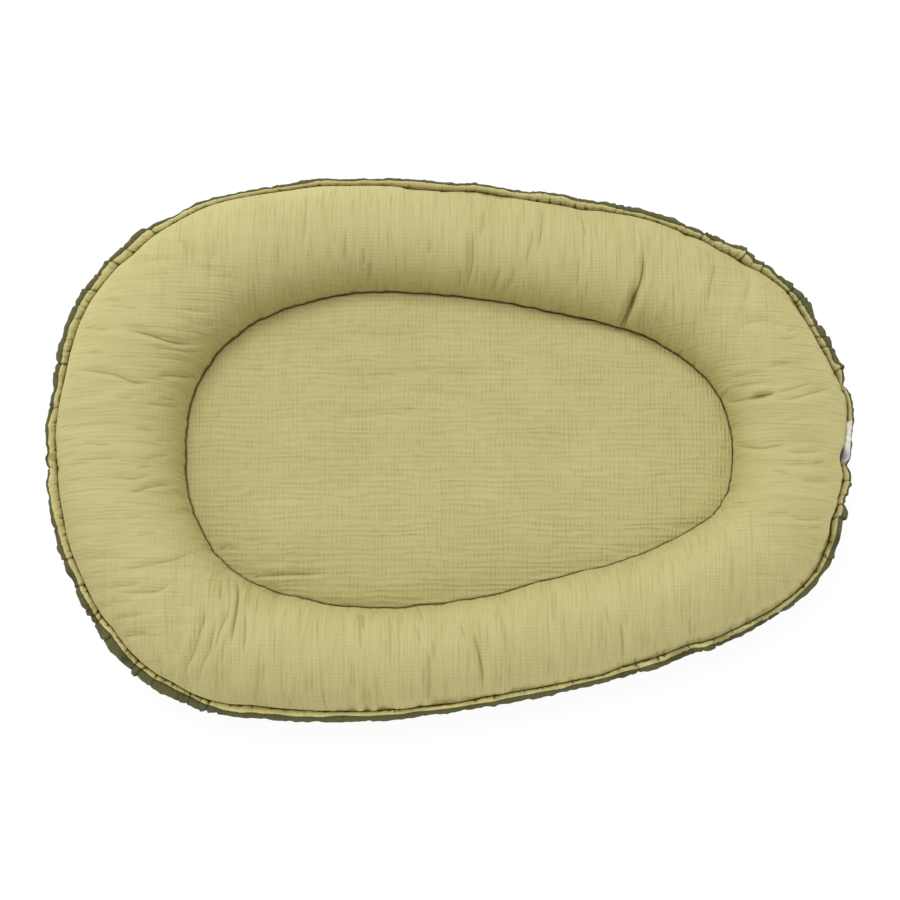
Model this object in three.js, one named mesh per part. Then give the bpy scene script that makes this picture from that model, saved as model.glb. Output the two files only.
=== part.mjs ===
// Reversible muslin baby nest: a padded floor inside a closed, fibre-filled ring, with a drawstring
// casing round the rim. Millimetres. +Z is up and +X runs to the narrow foot end. The origin is on
// the ground under the middle of the rim.
import * as THREE from 'three';

// The floor, measured along the inner seam and at its middle
const floorLength = 611;
const floorWidth = 358;
const floorCrown = 9;

// The ring, measured from the inner seam to the outer seam and from the ground to its crest
const bolsterWidth = 128;
const bolsterHeight = 104;
const innerSeamHeight = 36;
const outerSeamHeight = 48;

// Cloth, cord and thread
const muslinThickness = 1.2;
const drawstringDiameter = 4.5;
const threadDiameter = 1.2;

// The casing is a flattened tube round the drawstring, rolled up against the ring
const casingSpareAcross = 2.75;
const casingSpareHigh = 1.75;
const casingRoll = THREE.MathUtils.degToRad(50);

// The label lies over the casing at the foot end
const labelLength = 47;
const labelThickness = 0.8;
const labelStart = THREE.MathUtils.degToRad(66);
const labelEnd = THREE.MathUtils.degToRad(150);

// Pieces that touch keep this clearance, and the filled parts are pressed flat by this much
const clearance = 0.3;
const restingPress = 0.5;
const waddingInset = 3;

// Sixteen places round the nest, anticlockwise from the foot end: how far the inner seam lies from
// the middle of the floor, the ring's width, and its height, each as a share of its main size
const floorOutlineShares = [
  1, 1.01, 0.99, 0.94, 0.97, 1.07, 1.1, 1.04,
  1, 1.05, 1.13, 1.08, 0.96, 0.89, 0.94, 1.02,
];
const bolsterWidthShares = [
  0.95, 0.99, 0.98, 0.94, 0.91, 0.94, 1.1, 1.16,
  1.09, 1.1, 1.11, 0.91, 0.86, 0.89, 0.88, 0.97,
];
const crestShares = [
  0.98, 1, 0.99, 0.97, 0.96, 0.98, 1.03, 1.06,
  1.03, 1.03, 1.05, 0.98, 0.95, 0.96, 0.97, 1,
];

// The floor's surface at these shares of the way from its middle to the inner seam
const floorRingShares = [0.5, 0.8, 0.92, 0.975, 1];
const floorEdgePower = 6;

// How a ring section leaves its seams (0 rises like a tent, 1 like a half round), and how square it is
const sectionRoundShare = 0.55;
const crestPower = 0.92;
const undersidePower = 4;

// Fineness of the meshes
const stationCount = 54;
const sectionSteps = 8;
const casingSteps = 6;
const cordSides = 8;
const threadSides = 4;

// Worked out from the sizes above
const seamHalf = threadDiameter / 2 + clearance;
const fillingInset = muslinThickness + clearance;
const cordSpace = drawstringDiameter / 2 + clearance + muslinThickness;
const casingHalfWidth = cordSpace + casingSpareAcross;
const casingHalfHeight = cordSpace + casingSpareHigh;

const upperMuslin = new THREE.MeshStandardMaterial({ color: 0xc1ba85, roughness: 0.95, metalness: 0 });
const underMuslin = new THREE.MeshStandardMaterial({ color: 0x5a5c3e, roughness: 0.95, metalness: 0 });
const fibre = new THREE.MeshStandardMaterial({ color: 0xf1efe9, roughness: 1, metalness: 0 });
const cotton = new THREE.MeshStandardMaterial({ color: 0xc9c29a, roughness: 0.9, metalness: 0 });
const sewingThread = new THREE.MeshStandardMaterial({ color: 0x77784d, roughness: 0.8, metalness: 0 });
const satin = new THREE.MeshStandardMaterial({ color: 0xf2f1ee, roughness: 0.45, metalness: 0 });

// A closed smooth curve through one point for each share
function closedCurve(shares, pointAt) {
  const points = shares.map((share, i) => pointAt(i, (2 * Math.PI * i) / shares.length));
  return new THREE.CatmullRomCurve3(points, true, 'catmullrom', 0.5);
}

const innerSeam = closedCurve(floorOutlineShares, (i, angle) => new THREE.Vector3(
  (floorLength / 2) * floorOutlineShares[i] * Math.cos(angle),
  (floorWidth / 2) * floorOutlineShares[i] * Math.sin(angle),
  0,
));

// x carries the ring's width and y its crest height
const ringSizes = closedCurve(bolsterWidthShares, (i) => new THREE.Vector3(
  bolsterWidth * bolsterWidthShares[i],
  bolsterHeight * crestShares[i],
  0,
));

// One upright section plane of the nest: a point on the inner seam and the way out from it
function station(i) {
  const t = i / stationCount;
  const along = innerSeam.getTangent(t);
  const sizes = ringSizes.getPoint(t);
  return {
    seam: innerSeam.getPoint(t),
    out: new THREE.Vector3(along.y, -along.x, 0).normalize(),
    width: sizes.x,
    crest: sizes.y,
  };
}

const stations = Array.from({ length: stationCount }, (_, i) => station(i));

function steps(count) {
  return Array.from({ length: count + 1 }, (_, i) => i / count);
}

// A point of a section: its distance out from the inner seam, and its height
function place(plane, [across, height]) {
  return plane.seam.clone().addScaledVector(plane.out, across).setZ(height);
}

// One side of the ring's section, from the inner seam to the outer seam, at an inset below its skin
function ringLine(plane, isUpper, inset, seamGap) {
  const low = seamHalf + inset;
  const high = plane.width - seamHalf - inset;
  return steps(sectionSteps).map((share) => {
    const angle = Math.PI * share;
    const round = (1 - Math.cos(angle)) / 2;
    const across = THREE.MathUtils.lerp(low, high, THREE.MathUtils.lerp(share, round, sectionRoundShare));
    const seamHeight = THREE.MathUtils.lerp(innerSeamHeight, outerSeamHeight, across / plane.width);
    if (isUpper) {
      const rise = plane.crest - seamHeight - seamGap - inset;
      return [across, seamHeight + seamGap + rise * Math.sin(angle) ** crestPower];
    }
    const drop = seamHeight - seamGap + restingPress - inset;
    const fullness = Math.sqrt(1 - Math.abs(Math.cos(angle)) ** undersidePower);
    const height = seamHeight - seamGap - drop * fullness;
    return [across, Math.max(height, inset)];
  });
}

// The closed section of one ring cover, anticlockwise
function coverSection(plane, isUpper) {
  const skin = ringLine(plane, isUpper, 0, clearance / 2);
  const lining = ringLine(plane, isUpper, muslinThickness, clearance / 2);
  return isUpper ? [...skin.reverse(), ...lining] : [...skin, ...lining.reverse()];
}

function fillingSection(plane) {
  const upper = ringLine(plane, true, fillingInset, 0);
  const under = ringLine(plane, false, fillingInset, 0);
  return [...upper.reverse(), ...under.slice(1, -1)];
}

// The middle of the casing tube, which touches the outer seam at its rolled-under edge
function casingMiddle(plane) {
  return [
    plane.width + seamHalf + casingHalfWidth * Math.cos(casingRoll),
    outerSeamHeight + casingHalfHeight * Math.sin(casingRoll),
  ];
}

// A point of the casing's oval at an angle from straight out, at an inset below its skin
function onCasing(plane, angle, inset) {
  const [across, height] = casingMiddle(plane);
  return [
    across + (casingHalfWidth - inset) * Math.cos(angle),
    height + (casingHalfHeight - inset) * Math.sin(angle),
  ];
}

// A band of the casing's oval between two angles and two insets, anticlockwise
function casingBand(plane, start, end, skinInset, liningInset) {
  const angles = steps(casingSteps).map((share) => THREE.MathUtils.lerp(start, end, share));
  const skin = angles.map((angle) => onCasing(plane, angle, skinInset));
  const lining = angles.map((angle) => onCasing(plane, angle, liningInset));
  return [...skin, ...lining.reverse()];
}

const stripGapAngle = clearance / 2 / (casingHalfHeight - muslinThickness);

function casingUpperSection(plane) {
  const start = casingRoll + stripGapAngle;
  const end = casingRoll + Math.PI - stripGapAngle;
  return casingBand(plane, start, end, 0, muslinThickness);
}

function casingUnderSection(plane) {
  const start = casingRoll - Math.PI + stripGapAngle;
  const end = casingRoll - stripGapAngle;
  return casingBand(plane, start, end, 0, muslinThickness);
}

function labelSection(plane) {
  return casingBand(plane, labelStart, labelEnd, -clearance - labelThickness, -clearance);
}

function roundSection([across, height], diameter, sides) {
  return Array.from({ length: sides }, (_, i) => {
    const angle = (2 * Math.PI * i) / sides;
    return [across + (diameter / 2) * Math.cos(angle), height + (diameter / 2) * Math.sin(angle)];
  });
}

function drawstringSection(plane) {
  const [across, height] = casingMiddle(plane);
  return roundSection([across, height - casingSpareHigh], drawstringDiameter, cordSides);
}

function innerThreadSection() {
  return roundSection([0, innerSeamHeight], threadDiameter, threadSides);
}

function casingThreadSection(plane) {
  return roundSection([plane.width, outerSeamHeight], threadDiameter, threadSides);
}

function edgeThreadSection(plane) {
  const inset = muslinThickness + clearance + threadDiameter / 2;
  return roundSection(onCasing(plane, casingRoll, inset), threadDiameter, threadSides);
}

function meshOf(name, points, faces, material) {
  const geometry = new THREE.BufferGeometry().setFromPoints(points);
  geometry.setIndex(faces.flat());
  geometry.computeVertexNormals();
  const mesh = new THREE.Mesh(geometry, material);
  mesh.name = name;
  return mesh;
}

// The two triangles between neighbouring points of neighbouring loops
function quad(near, nearNext, far, farNext) {
  return [near, far, farNext, near, farNext, nearNext];
}

function loopFaces(loopCount, size, isClosed) {
  const faces = [];
  for (let i = 0; i < (isClosed ? loopCount : loopCount - 1); i += 1) {
    const next = ((i + 1) % loopCount) * size;
    for (let k = 0; k < size; k += 1) {
      const beside = (k + 1) % size;
      faces.push(quad(i * size + k, i * size + beside, next + k, next + beside));
    }
  }
  return faces;
}

// A piece that runs all round the nest with one closed section at each station
function ringPiece(name, sectionAt, material) {
  const loops = stations.map((plane) => sectionAt(plane).map((point) => place(plane, point)));
  return meshOf(name, loops.flat(), loopFaces(loops.length, loops[0].length, true), material);
}

// The two flat ends of an open band whose loop runs out along its skin and back along its lining
function bandEnds(size, lastStart) {
  const faces = [];
  for (let k = 0; k < size / 2 - 1; k += 1) {
    const [a, b, c, d] = [k, k + 1, size - 2 - k, size - 1 - k];
    faces.push([a, b, c, a, c, d]);
    faces.push([a, c, b, a, d, c].map((index) => index + lastStart));
  }
  return faces;
}

function labelPiece() {
  const loopOf = (plane) => labelSection(plane).map((point) => place(plane, point));
  const middle = loopOf(stations[0]);
  const endLoop = (plane) => {
    const far = loopOf(plane);
    const share = labelLength / 2 / middle[0].distanceTo(far[0]);
    return middle.map((point, i) => point.clone().lerp(far[i], share));
  };
  const loops = [endLoop(stations[stationCount - 1]), middle, endLoop(stations[1])];
  const size = middle.length;
  const faces = [...loopFaces(loops.length, size, false), ...bandEnds(size, size * (loops.length - 1))];
  return meshOf('seam_label', loops.flat(), faces, satin);
}

// How full the floor is at a share of the way from its middle to its edge
function floorFullness(share) {
  return Math.sqrt(1 - share ** floorEdgePower);
}

// One surface of the floor, from its middle to its edge, as shares of the way out and heights
function floorLine(edgeHeight, middleHeight, lowest) {
  return [0, ...floorRingShares].map((share) => {
    const height = THREE.MathUtils.lerp(edgeHeight, middleHeight, floorFullness(share));
    return [share, Math.max(height, lowest)];
  });
}

// A piece of the floor: its profile runs from the middle of its top, over its edge, to the middle
// of its underside, and it ends at an inset inside the inner seam
function floorPiece(name, profile, edgeInset, material) {
  const rings = profile.slice(1, -1).map(([share, height]) => stations.map((plane) => (
    place(plane, [-edgeInset, 0]).multiplyScalar(share).setZ(height)
  )));
  const middleAt = ([, height]) => new THREE.Vector3(0, 0, height);
  const points = [middleAt(profile[0]), ...rings.flat(), middleAt(profile.at(-1))];
  const faces = [];
  const lastStart = 1 + (rings.length - 1) * stationCount;
  for (let i = 0; i < stationCount; i += 1) {
    const next = (i + 1) % stationCount;
    faces.push([0, 1 + i, 1 + next]);
    faces.push([points.length - 1, lastStart + next, lastStart + i]);
    for (let ring = 0; ring < rings.length - 1; ring += 1) {
      const start = 1 + ring * stationCount;
      const following = start + stationCount;
      faces.push(quad(start + i, start + next, following + i, following + next));
    }
  }
  return meshOf(name, points, faces, material);
}

function upperFloorCover() {
  const edge = innerSeamHeight + clearance / 2;
  const lining = floorLine(edge, edge + floorCrown, 0);
  const skin = lining.map(([share, height]) => [share, height + muslinThickness]);
  return floorPiece('upper_floor_cover', [...skin, ...lining.reverse()], seamHalf, upperMuslin);
}

function underFloorCover() {
  const edge = innerSeamHeight - clearance / 2;
  const lining = floorLine(edge, muslinThickness - restingPress, muslinThickness);
  const skin = lining.map(([share, height]) => [share, height - muslinThickness]);
  return floorPiece('under_floor_cover', [...lining, ...skin.reverse()], seamHalf, underMuslin);
}

function floorWadding() {
  const top = floorLine(innerSeamHeight, innerSeamHeight + floorCrown - clearance / 2, 0);
  const under = floorLine(innerSeamHeight, fillingInset - restingPress, fillingInset);
  const profile = [...top, ...under.reverse().slice(1)];
  return floorPiece('floor_wadding', profile, seamHalf + waddingInset, fibre);
}

// The middle of the rim's box, which the origin lies under
function rimMiddle() {
  const rim = stations.map((plane) => place(plane, onCasing(plane, 0, 0)));
  return new THREE.Box3().setFromPoints(rim).getCenter(new THREE.Vector3());
}

const group = new THREE.Group();
group.add(
  ringPiece('upper_bolster_cover', (plane) => coverSection(plane, true), upperMuslin),
  ringPiece('under_bolster_cover', (plane) => coverSection(plane, false), underMuslin),
  ringPiece('bolster_filling', fillingSection, fibre),
  upperFloorCover(),
  underFloorCover(),
  floorWadding(),
  ringPiece('casing_upper_strip', casingUpperSection, upperMuslin),
  ringPiece('casing_under_strip', casingUnderSection, underMuslin),
  ringPiece('drawstring', drawstringSection, cotton),
  ringPiece('inner_seam_thread', innerThreadSection, sewingThread),
  ringPiece('casing_seam_thread', casingThreadSection, sewingThread),
  ringPiece('edge_seam_thread', edgeThreadSection, sewingThread),
  labelPiece(),
);
group.position.copy(rimMiddle()).multiply(new THREE.Vector3(-1, -1, 0));

export default group;
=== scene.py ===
import math
from typing import NamedTuple

import bmesh
import bpy
import numpy as np
from bpy.props import FloatProperty, FloatVectorProperty, PointerProperty
from mathutils import Matrix, Vector


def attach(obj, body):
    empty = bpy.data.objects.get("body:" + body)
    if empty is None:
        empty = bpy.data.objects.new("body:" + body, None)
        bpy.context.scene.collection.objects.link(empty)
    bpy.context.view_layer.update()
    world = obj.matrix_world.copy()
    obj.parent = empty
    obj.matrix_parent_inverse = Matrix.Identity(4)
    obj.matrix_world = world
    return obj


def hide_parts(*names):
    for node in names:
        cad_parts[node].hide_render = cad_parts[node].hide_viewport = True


bl_info = {
    "name": "Muslin baby nest",
    "version": (1, 0, 0),
    "blender": (4, 5, 0),
    "location": "View3D > Sidebar > Nest",
    "description": "Sews a reversible muslin baby nest round its frame, piece by piece",
    "category": "Object",
}

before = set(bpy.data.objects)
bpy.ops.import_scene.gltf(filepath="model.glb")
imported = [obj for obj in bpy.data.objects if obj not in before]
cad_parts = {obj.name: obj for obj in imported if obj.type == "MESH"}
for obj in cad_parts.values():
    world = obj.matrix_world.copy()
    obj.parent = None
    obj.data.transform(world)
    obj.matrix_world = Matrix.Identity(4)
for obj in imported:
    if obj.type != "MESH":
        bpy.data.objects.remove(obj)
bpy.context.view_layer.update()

MM = 0.001

# The photo's camera: it looks down from the near side. Places that are taken from the photo are
# given as (x, y) pixels of its 900 by 900 frame.
PHOTO_SIDE = 900
CAMERA_ELEVATION = math.radians(80)
CAMERA_DISTANCE = 2.6
VIEW_SPAN = 1.003
AIM = Vector((-0.0006, -0.0054, 0.045))
SENSOR_WIDTH = 36

# Half the width of the inner seam, how far over or under its seams a cloth starts, and the room under
# the nest
SEAM_HALF = 0.05 * MM
SEAM_LAP = 0.15 * MM
GROUND_CLEARANCE = 0.3 * MM

# The steps of a table round the nest, and the corners of a thread at each of its stations
TABLE_SIZE = 2880
TABLE_SHARES = np.arange(TABLE_SIZE) / TABLE_SIZE
THREAD_SIDES = 4

# What each point of the cloth knows: how much painted shade it has in its seams, folds, creases and hollows,
# the share of its crinkles that run along Y, and how much painted light makes it paler than the rest
SHADE = "fold_shade"
GRAIN = "cross_grain"
PAINTED_LIGHT = "painted_light"


# Colours


def linear(hex_colour):
    """A written sRGB colour as the linear values that Blender works in"""
    channels = [int(hex_colour[i:i + 2], 16) / 255 for i in (1, 3, 5)]
    return [c / 12.92 if c <= 0.04045 else ((c + 0.055) / 1.055) ** 2.4 for c in channels]


def colour_property(name, description, hex_colour):
    return FloatVectorProperty(name=name, description=description, subtype="COLOR", size=3,
                               min=0, max=1, default=linear(hex_colour))


# What a user would change


class NestCloth(bpy.types.PropertyGroup):
    """How full the nest is and how its cloth lies"""
    lumps: FloatProperty(
        name="Lumps", description="How far the filling swells and sinks along the ring",
        default=1.6 * MM, unit="LENGTH")
    wrinkles: FloatProperty(
        name="Wrinkles", description="Height of the folds that run across the ring",
        default=0.9 * MM, unit="LENGTH")
    gathers: FloatProperty(
        name="Gathers", description="Height of the fine gathers that run across the ring",
        default=0.9 * MM, unit="LENGTH")
    fold_depth: FloatProperty(
        name="Fold depth", description="Share of the photo's single deep folds",
        default=1.25, subtype="FACTOR")
    floor_crown: FloatProperty(
        name="Floor crown", description="Rise of the floor over its seam",
        default=12 * MM, unit="LENGTH")


class NestCasing(bpy.types.PropertyGroup):
    """How the casing round the rim is gathered"""
    crease_depth: FloatProperty(
        name="Crease depth", description="How far the deepest creases go into the casing",
        default=2.6 * MM, unit="LENGTH")
    cord_diameter: FloatProperty(
        name="Cord diameter", description="The drawstring inside the casing",
        default=4.5 * MM, unit="LENGTH")
    stitch_length: FloatProperty(
        name="Stitch length", description="Length of one lockstitch",
        default=3.2 * MM, unit="LENGTH")


class NestColours(bpy.types.PropertyGroup):
    """The nest's colours"""
    upper: colour_property("Upper muslin", "The light olive side", "#C9C086")
    # The colour that the light side is darkened toward as painted shade in seams, folds, creases and hollows
    upper_shade: colour_property("Upper muslin painted shade", "Painted shade of the light side in seams, folds and creases", "#62520A")
    under: colour_property("Under muslin", "The dark olive side", "#656443")
    # The same painted shade colour for the dark side
    under_shade: colour_property("Under muslin painted shade", "Painted shade of the dark side in seams, folds and creases", "#2A2C1C")
    # The stitches are real, but their dark brown also gives painted shade in the groove of the inner seam
    thread: colour_property("Sewing thread", "The stitches in the seams", "#544208")
    cord: colour_property("Cotton cord", "The drawstring", "#C9C29A")
    satin: colour_property("Satin", "The blank label", "#F2F1EE")
    # The colour of the label's painted shade, where it is crumpled and tucked in beside the ring
    satin_shade: colour_property("Satin painted shade", "Painted shade of the label where it is crumpled and tucked in", "#574C5A")


class NestStage(bpy.types.PropertyGroup):
    """The studio round the nest"""
    key_power: FloatProperty(
        name="Key light", description="Power of the big soft light at the upper left", default=755,
        unit="POWER")
    sky: FloatProperty(
        name="Fill light", description="Strength of the even light from all round", default=0.53)
    floor_size: FloatProperty(
        name="Floor size", description="Side of the white floor", default=14, unit="LENGTH")


# The nest's lines, read from the frame


class Lines(NamedTuple):
    """Tables round the nest, from the foot end anticlockwise, at even steps along the ring"""
    inner: np.ndarray
    outer: np.ndarray
    crest: np.ndarray
    length: float


def points_of(node):
    """The corners of a CAD node, each once"""
    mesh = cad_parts[node].data
    corners = np.empty(len(mesh.vertices) * 3, np.float32)
    mesh.vertices.foreach_get("co", corners)
    return np.unique(np.round(corners.reshape(-1, 3).astype(float), 6), axis=0)


def seam_stations(node):
    """The middle of a seam's thread at each of its stations, anticlockwise from the foot end"""
    corners = points_of(node)
    count = len(corners) // THREAD_SIDES
    turn = np.arctan2(corners[:, 1], corners[:, 0])
    order = np.argsort((turn + math.pi / count) % (2 * math.pi))
    return corners[order].reshape(count, THREAD_SIDES, 3).mean(axis=1)


SECTION_HALF = 0.3 * MM


def crest_heights(inner, outer):
    """The highest point of the ring's cover in the section plane of each station"""
    corners = points_of("upper_bolster_cover")
    heights = []
    for start, end in zip(inner, outer):
        out = (end - start)[:2]
        width = np.linalg.norm(out)
        out /= width
        way = corners[:, :2] - start[:2]
        along = way @ out
        beside = np.abs(way @ np.array([-out[1], out[0]]))
        near = (beside < SECTION_HALF) & (along > 0) & (along < width)
        heights.append(corners[near, 2].max())
    return np.array(heights)[:, None]


def smooth_loop(values):
    """A closed line through evenly numbered stations, by its Fourier series"""
    spectrum = np.fft.rfft(values, axis=0)
    spectrum[-1] /= 2
    wide = np.zeros((TABLE_SIZE // 2 + 1, values.shape[1]), complex)
    wide[:len(spectrum)] = spectrum
    return np.fft.irfft(wide, n=TABLE_SIZE, axis=0) * TABLE_SIZE / len(values)


def round_nest(table, share):
    """A table's values at shares of the way round the nest"""
    place = np.mod(share, 1) * len(table)
    low = np.floor(place).astype(int)
    part = (place - low)[..., None]
    return table[low % len(table)] * (1 - part) + table[(low + 1) % len(table)] * part


def line_length(points):
    return np.linalg.norm(np.roll(points, -1, axis=0) - points, axis=1)


def read_lines():
    """The seams and the crest as tables at even steps along the ring's middle"""
    stations = seam_stations("inner_seam_thread"), seam_stations("casing_seam_thread")
    inner, outer = (smooth_loop(points) for points in stations)
    crest = smooth_loop(crest_heights(*stations))
    way = np.concatenate([[0], np.cumsum(line_length((inner + outer) / 2))])
    even = np.interp(TABLE_SHARES * way[-1], way, np.arange(TABLE_SIZE + 1))
    inner, outer, crest = (round_nest(table, even / TABLE_SIZE) for table in (inner, outer, crest))
    return Lines(inner, outer, crest, way[-1])


lines = read_lines()
RIM_LENGTH = line_length(lines.outer).sum()


# Places on the photo


def camera_axes():
    """The camera's right, up and back directions"""
    back = Vector((0, -math.cos(CAMERA_ELEVATION), math.sin(CAMERA_ELEVATION)))
    right = Vector((1, 0, 0))
    return right, back.cross(right), back


def photo_place(points):
    """Where points of the nest lie on the photo, in pixels"""
    right, up, back = (np.array(axis) for axis in camera_axes())
    way = points - (np.array(AIM) + back * CAMERA_DISTANCE)
    scale = PHOTO_SIDE * CAMERA_DISTANCE / VIEW_SPAN / -(way @ back)
    return np.stack([PHOTO_SIDE / 2 + way @ right * scale, PHOTO_SIDE / 2 - way @ up * scale], axis=-1)


PIXEL = VIEW_SPAN / PHOTO_SIDE


def unit(vectors):
    """Vectors with their lengths brought to 1"""
    return vectors / np.linalg.norm(vectors, axis=1)[:, None]


def out_of_nest(u):
    """The level direction straight out of the nest"""
    return unit((round_nest(lines.outer, u) - round_nest(lines.inner, u))[:, :2])


RISE_STEP = 1 * MM


def look_down(u):
    """How far out on the photo a point at the rim appears to move when it rises, as a share"""
    rim, out = round_nest(lines.outer, u), np.zeros((len(u), 3))
    out[:, :2] = out_of_nest(u) * RISE_STEP
    here, above, beside = (photo_place(points) for points in (rim, rim + [0, 0, RISE_STEP], rim + out))
    way = beside - here
    return ((above - here) * way).sum(axis=1) / (way ** 2).sum(axis=1)


# Noise and steps


def ease(x):
    """A smooth step from 0 to 1"""
    x = np.clip(x, 0, 1)
    return x * x * (3 - 2 * x)


def blend_weights(part):
    """The four weights of a cubic B-spline"""
    return [(1 - part) ** 3 / 6, (3 * part ** 3 - 6 * part ** 2 + 4) / 6,
            (-3 * part ** 3 + 3 * part ** 2 + 3 * part + 1) / 6, part ** 3 / 6]


# The spread that the noise has by itself
NOISE_SPREAD = 0.48


def wander(u, v, columns, rows, seed):
    """Smooth seeded noise of spread 1 over a strip that closes on itself at each whole u"""
    table = np.random.default_rng(seed).standard_normal((rows + 3, columns))
    x, y = u * columns, np.clip(v, 0, 1) * rows
    left, low = np.floor(x).astype(int), np.minimum(np.floor(y).astype(int), rows - 1)
    total = 0
    for j, weight_up in enumerate(blend_weights(y - low)):
        for i, weight_along in enumerate(blend_weights(x - left)):
            total = total + weight_up * weight_along * table[low + j, (left + i) % columns]
    return total / NOISE_SPREAD


def along_seam(u, columns, seed):
    """The same noise along a line"""
    return wander(u, 0 * u, columns, 1, seed)


# The inner seam's kinks: their height, and for each kind its share, its number and its seed
SEAM_KINK = 0.5 * MM
KINK_KINDS = ((0.7, 130, 301), (0.5, 330, 302))


def kinked_seam():
    """The inner seam with the small kinks of a sewn seam in soft cloth"""
    kinks = sum(share * along_seam(TABLE_SHARES, columns, seed) for share, columns, seed in KINK_KINDS)
    inner = lines.inner.copy()
    inner[:, :2] += out_of_nest(TABLE_SHARES) * (SEAM_KINK * kinks)[:, None]
    return inner


lines = lines._replace(inner=kinked_seam())


# The single folds that stand out on the photo


class Fold(NamedTuple):
    """A fold's depth, how wide it is left and right of its course, all in millimetres, how dark the
    painted shade along its line is, and its course in pixels"""
    depth: float
    left: float
    right: float
    shade: float
    course: tuple


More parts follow.
